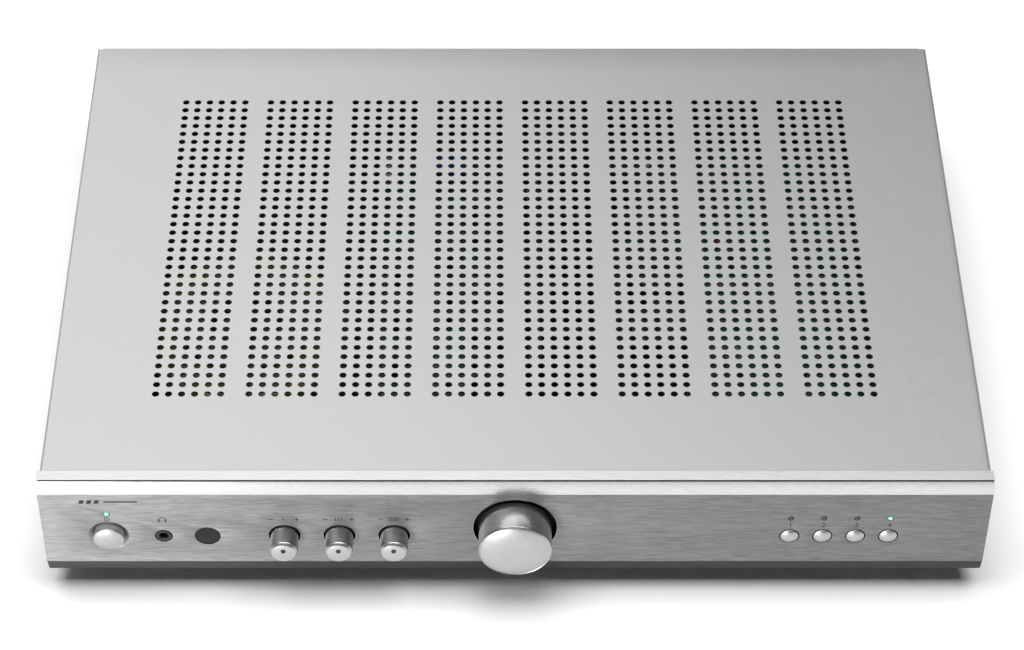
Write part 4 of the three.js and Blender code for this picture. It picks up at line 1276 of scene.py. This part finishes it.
def heat_sink():
    """Extrusion along Z: an upright wall with fins."""
    low, high = box_mm("heat_sink")
    base, fin, ease, pitch, count = low.x + 5, 2.0, 0.4, 10.0, 19
    points = [(low.x, low.y)]
    for k in range(count):
        start = low.y + k * pitch
        end = start + fin
        points += [(base, start), (high.x - ease, start), (high.x, start + ease),
                   (high.x, end - ease), (high.x - ease, end), (base, end)]
    del points[1]
    points[-1] = (low.x, high.y)
    bm = baked(prism(points, low.z, high.z, "Z"), bevel=0.25)
    piece("heat_sink_extruded", bm, [BLACK_ANODISED], ["heat_sink"])


def output_transistor(i):
    """Flat package screwed to the heat sink, with a metal back and three legs."""
    node = f"output_transistor_{i}"
    low, high = box_mm(node)
    y, back, top = middle_mm(node).y, high.x, high.z
    front, plate, hole_z = back - 4.9, back - 0.4, top - 4.5
    bore = move(rotate(rod(1.7, -8, 8, 24), 90, "Z"), (back, y, hole_z))
    bm = baked(block((front, y - 7.8, top - 20), (plate, y + 7.8, top)), bore, 0.4)
    add(bm, block((plate, y - 7.2, top - 19), (back, y + 7.2, top - 0.6)), 1)
    for leg_y in (y - 5.4, y, y + 5.4):
        add(bm, block((back - 3.2, leg_y - 0.6, low.z), (back - 2.4, leg_y + 0.6, top - 19.8), 0.12), 1)
    piece(f"{node}_packaged", bm, [BLACK_PLASTIC, ZINC], [node])
    screw(f"{node}_screw", (front, y, hole_z), (-1, 0, 0), 2.8, 1.6)


def reservoir_capacitor(i):
    """Large can capacitor: crimped sleeve with a stripe, a recessed top with three scored lines, darkened as
    painted shade.
    """
    node = f"reservoir_capacitor_{i}"
    low, high = box_mm(node)
    radius, height = (high.x - low.x) / 2, high.z - low.z
    bm = turned([(0, 0), (radius - 0.5, 0), (radius, 1.2, 0.4), (radius, 3, 0.4), (radius - 1.2, 4.2, 0.5),
                 (radius, 5.4, 0.4), (radius, height, 1.0), (radius - 1.8, height, 0.3),
                 (radius - 2.1, height - 0.6), (0, height - 0.6)], 96, 0.2, "Z")
    # Recessed top: painted shade.
    paint(bm, 1, lambda at, normal: at.z > height - 0.8 and math.hypot(at.x, at.y) < radius - 1.8)
    paint(bm, 2, lambda at, normal: abs(normal.z) < 0.3 and at.z > 6 and at.x > radius * 0.93)
    for turn in (0, 60, 120):
        bm = baked(bm, rotate(block((-7, -0.35, height - 1), (7, 0.35, height + 1)), turn, "Z"))
    piece(f"{node}_sleeved", bm, [SLEEVE, SHADED_CAN_TOP, PRINT_WHITE], [node],
          middle_mm(node, z=low.z))


def bridge_rectifier():
    high = box_mm("bridge_rectifier")[1]
    outline = [(-11, 0), (11, 0), (11, 15), (8, 18), (-11, 18)]
    hole = move(rotate(rod(1.6, -4, 4, 24), 90, "Z"), (0, 0, 12))
    bm = baked(prism(outline, -2.3, 2.3, "X"), hole, 0.35)
    for y in (-7.5, -2.5, 2.5, 7.5):
        add(bm, block((-0.5, y - 0.6, -5), (0.5, y + 0.6, 0.3), 0.15), 1)
    piece("bridge_rectifier_moulded", bm, [BLACK_PLASTIC, ZINC], ["bridge_rectifier"],
          middle_mm("bridge_rectifier", z=high.z - 18))


def speaker_relay():
    low, high = box_mm("speaker_relay")
    bm = block(low + Vector((0.1, 0.1, 0.6)), high, 0.6)
    add(bm, block(low, (high.x, high.y, low.z + 0.9), 0.2), 1)
    add(bm, block((low.x + 4, low.y + 3, high.z - 0.1), (high.x - 4, high.y - 3, high.z + 0.25), 0.12))
    piece("speaker_relay_cased", bm, [RELAY_BLUE, BLACK_PLASTIC], ["speaker_relay"])


def mounting_nut(bm, radius, across, front, back):
    """A hex nut and its washer on a threaded bush."""
    washer = back - 0.6
    add(bm, baked(hexagon(across, front, washer), rod(radius, front - 1, back + 1, 32)), 1)
    add(bm, pipe(radius, across * 0.62, washer, back, 48, 0.1), 1)


def solder_pins(bm, xs, y, low, high):
    """Flat solder terminals that hang below a control."""
    for x in xs:
        add(bm, block((x - 0.6, y - 0.25, low), (x + 0.6, y + 0.25, high), 0.1), 1)


def bush(bm, radius, back):
    """Threaded bush round a shaft."""
    front, pitch = 5, 0.75
    thread = thread_points(radius, radius - 0.25, front + 0.3, pitch, 0.38, int((back - front - 0.6) / pitch))
    add(bm, turned([(3.25, front), (radius - 0.3, front), *thread, (radius, back), (3.25, back),
                    (3.25, front)], 36), 1)


def tone_potentiometer(tone):
    node = f"{tone}_potentiometer"
    front, plate, can = BEHIND_SUB_PANEL, 8.5, 8.2
    back, end = front + 1.2, front + 11
    bm = tinted(block((-plate, front, -plate), (plate, back, plate), 0.3), 1)
    add(bm, block((-can, back, -can), (can, end, can), 0.5))
    for x in (-6.6, 6.6):
        add(bm, block((x - 1, front + 0.4, -8.45), (x + 1, end + 0.3, -7.4), 0.15), 1)
    bush(bm, 3.95, front + 0.5)
    mounting_nut(bm, 3.98, 10, 7.0, 8.8)
    solder_pins(bm, (-5, 0, 5), front + 5, -9.4, -8.1)
    piece(f"{node}_cased", bm, [BLACK_PLASTIC, ZINC], [node],
          middle_mm(node, y=FACE_Y, z=middle_mm(f"{tone}_knob").z))


def volume_potentiometer():
    """Two ganged elements, a gearbox and the motor that the remote control drives."""
    front, plate, can, box = BEHIND_SUB_PANEL, 13.5, 12.8, 13.3
    element, gearbox = front + 25, front + 35
    bm = tinted(block((-plate, front, -plate), (plate, front + 1.5, plate), 0.3), 1)
    for start in (front + 2, front + 13.5):
        add(bm, block((-can, start, -can), (can, start + 10.5, can), 0.8))
    add(bm, block((-box, element, -box), (box, gearbox, 19), 0.6), 1)
    rivet = [(0, gearbox - 0.2), (1.6, gearbox - 0.2), (1.2, gearbox + 0.7), (0, gearbox + 0.8)]
    for x in (-11, 11):
        for z in (-11, 11):
            add(bm, turned(rivet, 20, 0.1), 1, (x, 0, z))
    radius, cap, end = 10.5, 9, gearbox + 24
    motor = turned([(0, gearbox), (radius, gearbox), (radius, end - 3, 0.8), (cap, end - 2.6, 0.3),
                    (cap, end, 0.5), (3, end), (3, end + 1), (0, end + 1)], 72, 0.2)
    add(bm, motor, 1, (0, 0, 7))
    bush(bm, 4.8, front + 0.5)
    mounting_nut(bm, 4.85, 13, 6.8, 8.8)
    solder_pins(bm, (-7.5, -2.5, 2.5, 7.5), front + 8, -13.4, -12.5)
    piece("volume_potentiometer_motorised", bm, [BLACK_PLASTIC, ZINC],
          ["volume_potentiometer"], at_face("volume_knob"))


def power_switch():
    """Latching switch with a zinc band round it and two tabs at its end."""
    front, half, band_half = BEHIND_SUB_PANEL, 9, 9.2
    end = front + 34
    bm = baked(block((-half, front, -half), (half, end, half)), rod(3.5, front - 1, 18.5, 40), 0.6)
    band = block((-band_half, front + 4, -band_half), (band_half, front + 7, band_half))
    add(bm, baked(band, rod(3.6, front - 2, front + 8, 40), 0.2), 1)
    for x in (-4, 4):
        add(bm, block((x - 2, end - 1, -0.5), (x + 2, end + 7, 0.5), 0.2), 1)
    piece("power_switch_cased", bm, [BLACK_PLASTIC, ZINC], ["power_switch"],
          at_face("power_button"))


def source_board():
    """Upright board with a tact switch, its plunger and a lamp for each source button."""
    low, high = box_mm("source_board")
    front, switch, lamp_z = high.y - 1.6, 3, 50.6
    z = middle_mm("source_button_1").z
    bm = block((low.x, front, 28), (high.x, high.y, 60), 0.15)
    for i in SOURCES:
        x = middle_mm(f"source_button_{i}").x
        add(bm, block((x - switch, front - 3.5, z - switch), (x + switch, front, z + switch), 0.3), 1)
        add(bm, rod(1.7, low.y, low.y + 1.5, 32, 0.15), 1, (x, 0, z))
        add(bm, block((x - 0.8, front - 0.6, lamp_z - 0.5), (x + 0.8, front, lamp_z + 0.5)), 2)
        for lug_x in (x - 3.1, x + 3.1):
            add(bm, block((lug_x - 0.4, front - 1.6, z - 2.4), (lug_x + 0.4, front, z - 1.4)), 3)
    piece("source_board_etched", bm, [BOARD_GREEN, BLACK_PLASTIC, WHITE_PLASTIC, ZINC],
          ["source_board"])


def tone_board():
    low, high = box_mm("tone_board")
    top = high.z
    bm = block(low, high, 0.15)
    dice = random.Random(5)
    for x in (-112, -96, -89, -73, -66, -48):
        y = -118 + dice.uniform(-3, 3)
        add(bm, block((x - 2, y - 3.5, top), (x + 2, y + 3.5, top + 6), 0.6), 1)
    for x in (-104, -80, -56):
        add(bm, block((x - 3, -112, top), (x + 3, -109, top + 5), 0.3), 2)
    piece("tone_board_etched", bm, [BOARD_GREEN, RED_PLASTIC, WHITE_PLASTIC], ["tone_board"])


def wiring():
    """Mains leads along the left side and the transformer's leads to the main board."""
    mains = bmesh.new()
    for k, x in enumerate((-202, -199.4)):
        path = [(-185 + k * 14, 121, 40), (-186 + k * 10, 110, 30), (x, 96, 18), (x, 20, 17), (x, -60, 17),
                (x + 4, -92, 26), (-189 + k * 8, -104, 38.7)]
        add(mains, tube(path, 1.1), k)
    piece("mains_wires", mains, [WIRE_BROWN, WIRE_BLUE])
    leads = bmesh.new()
    for k in range(4):
        path = [(-80, -62 - 3 * k, 22), (-74, -66 - 4 * k, 30 + k), (-66, -76 - 2.5 * k, 33),
                (-62, -80.2 - 2.5 * k, 29)]
        add(leads, tube(path, 0.9), k % 2)
    for k in range(2):
        path = [(-178 + 8 * k, -60, 20), (-184 + 4 * k, -80, 18), (-187 + 6 * k, -96, 24),
                (-187 + 6 * k, -104, 37)]
        add(leads, tube(path, 1.0), 1 - k)
    piece("transformer_leads", leads, [RED_PLASTIC, WHITE_PLASTIC])


main_board()
board_capacitors()
board_resistors()
board_chips()
board_plugs()
transformer()
transformer_clamp()
heat_sink()
for i in range(1, 5):
    output_transistor(i)
for i in (1, 2):
    reservoir_capacitor(i)
bridge_rectifier()
speaker_relay()
for tone in TONES:
    tone_potentiometer(tone)
volume_potentiometer()
power_switch()
source_board()
tone_board()
wiring()
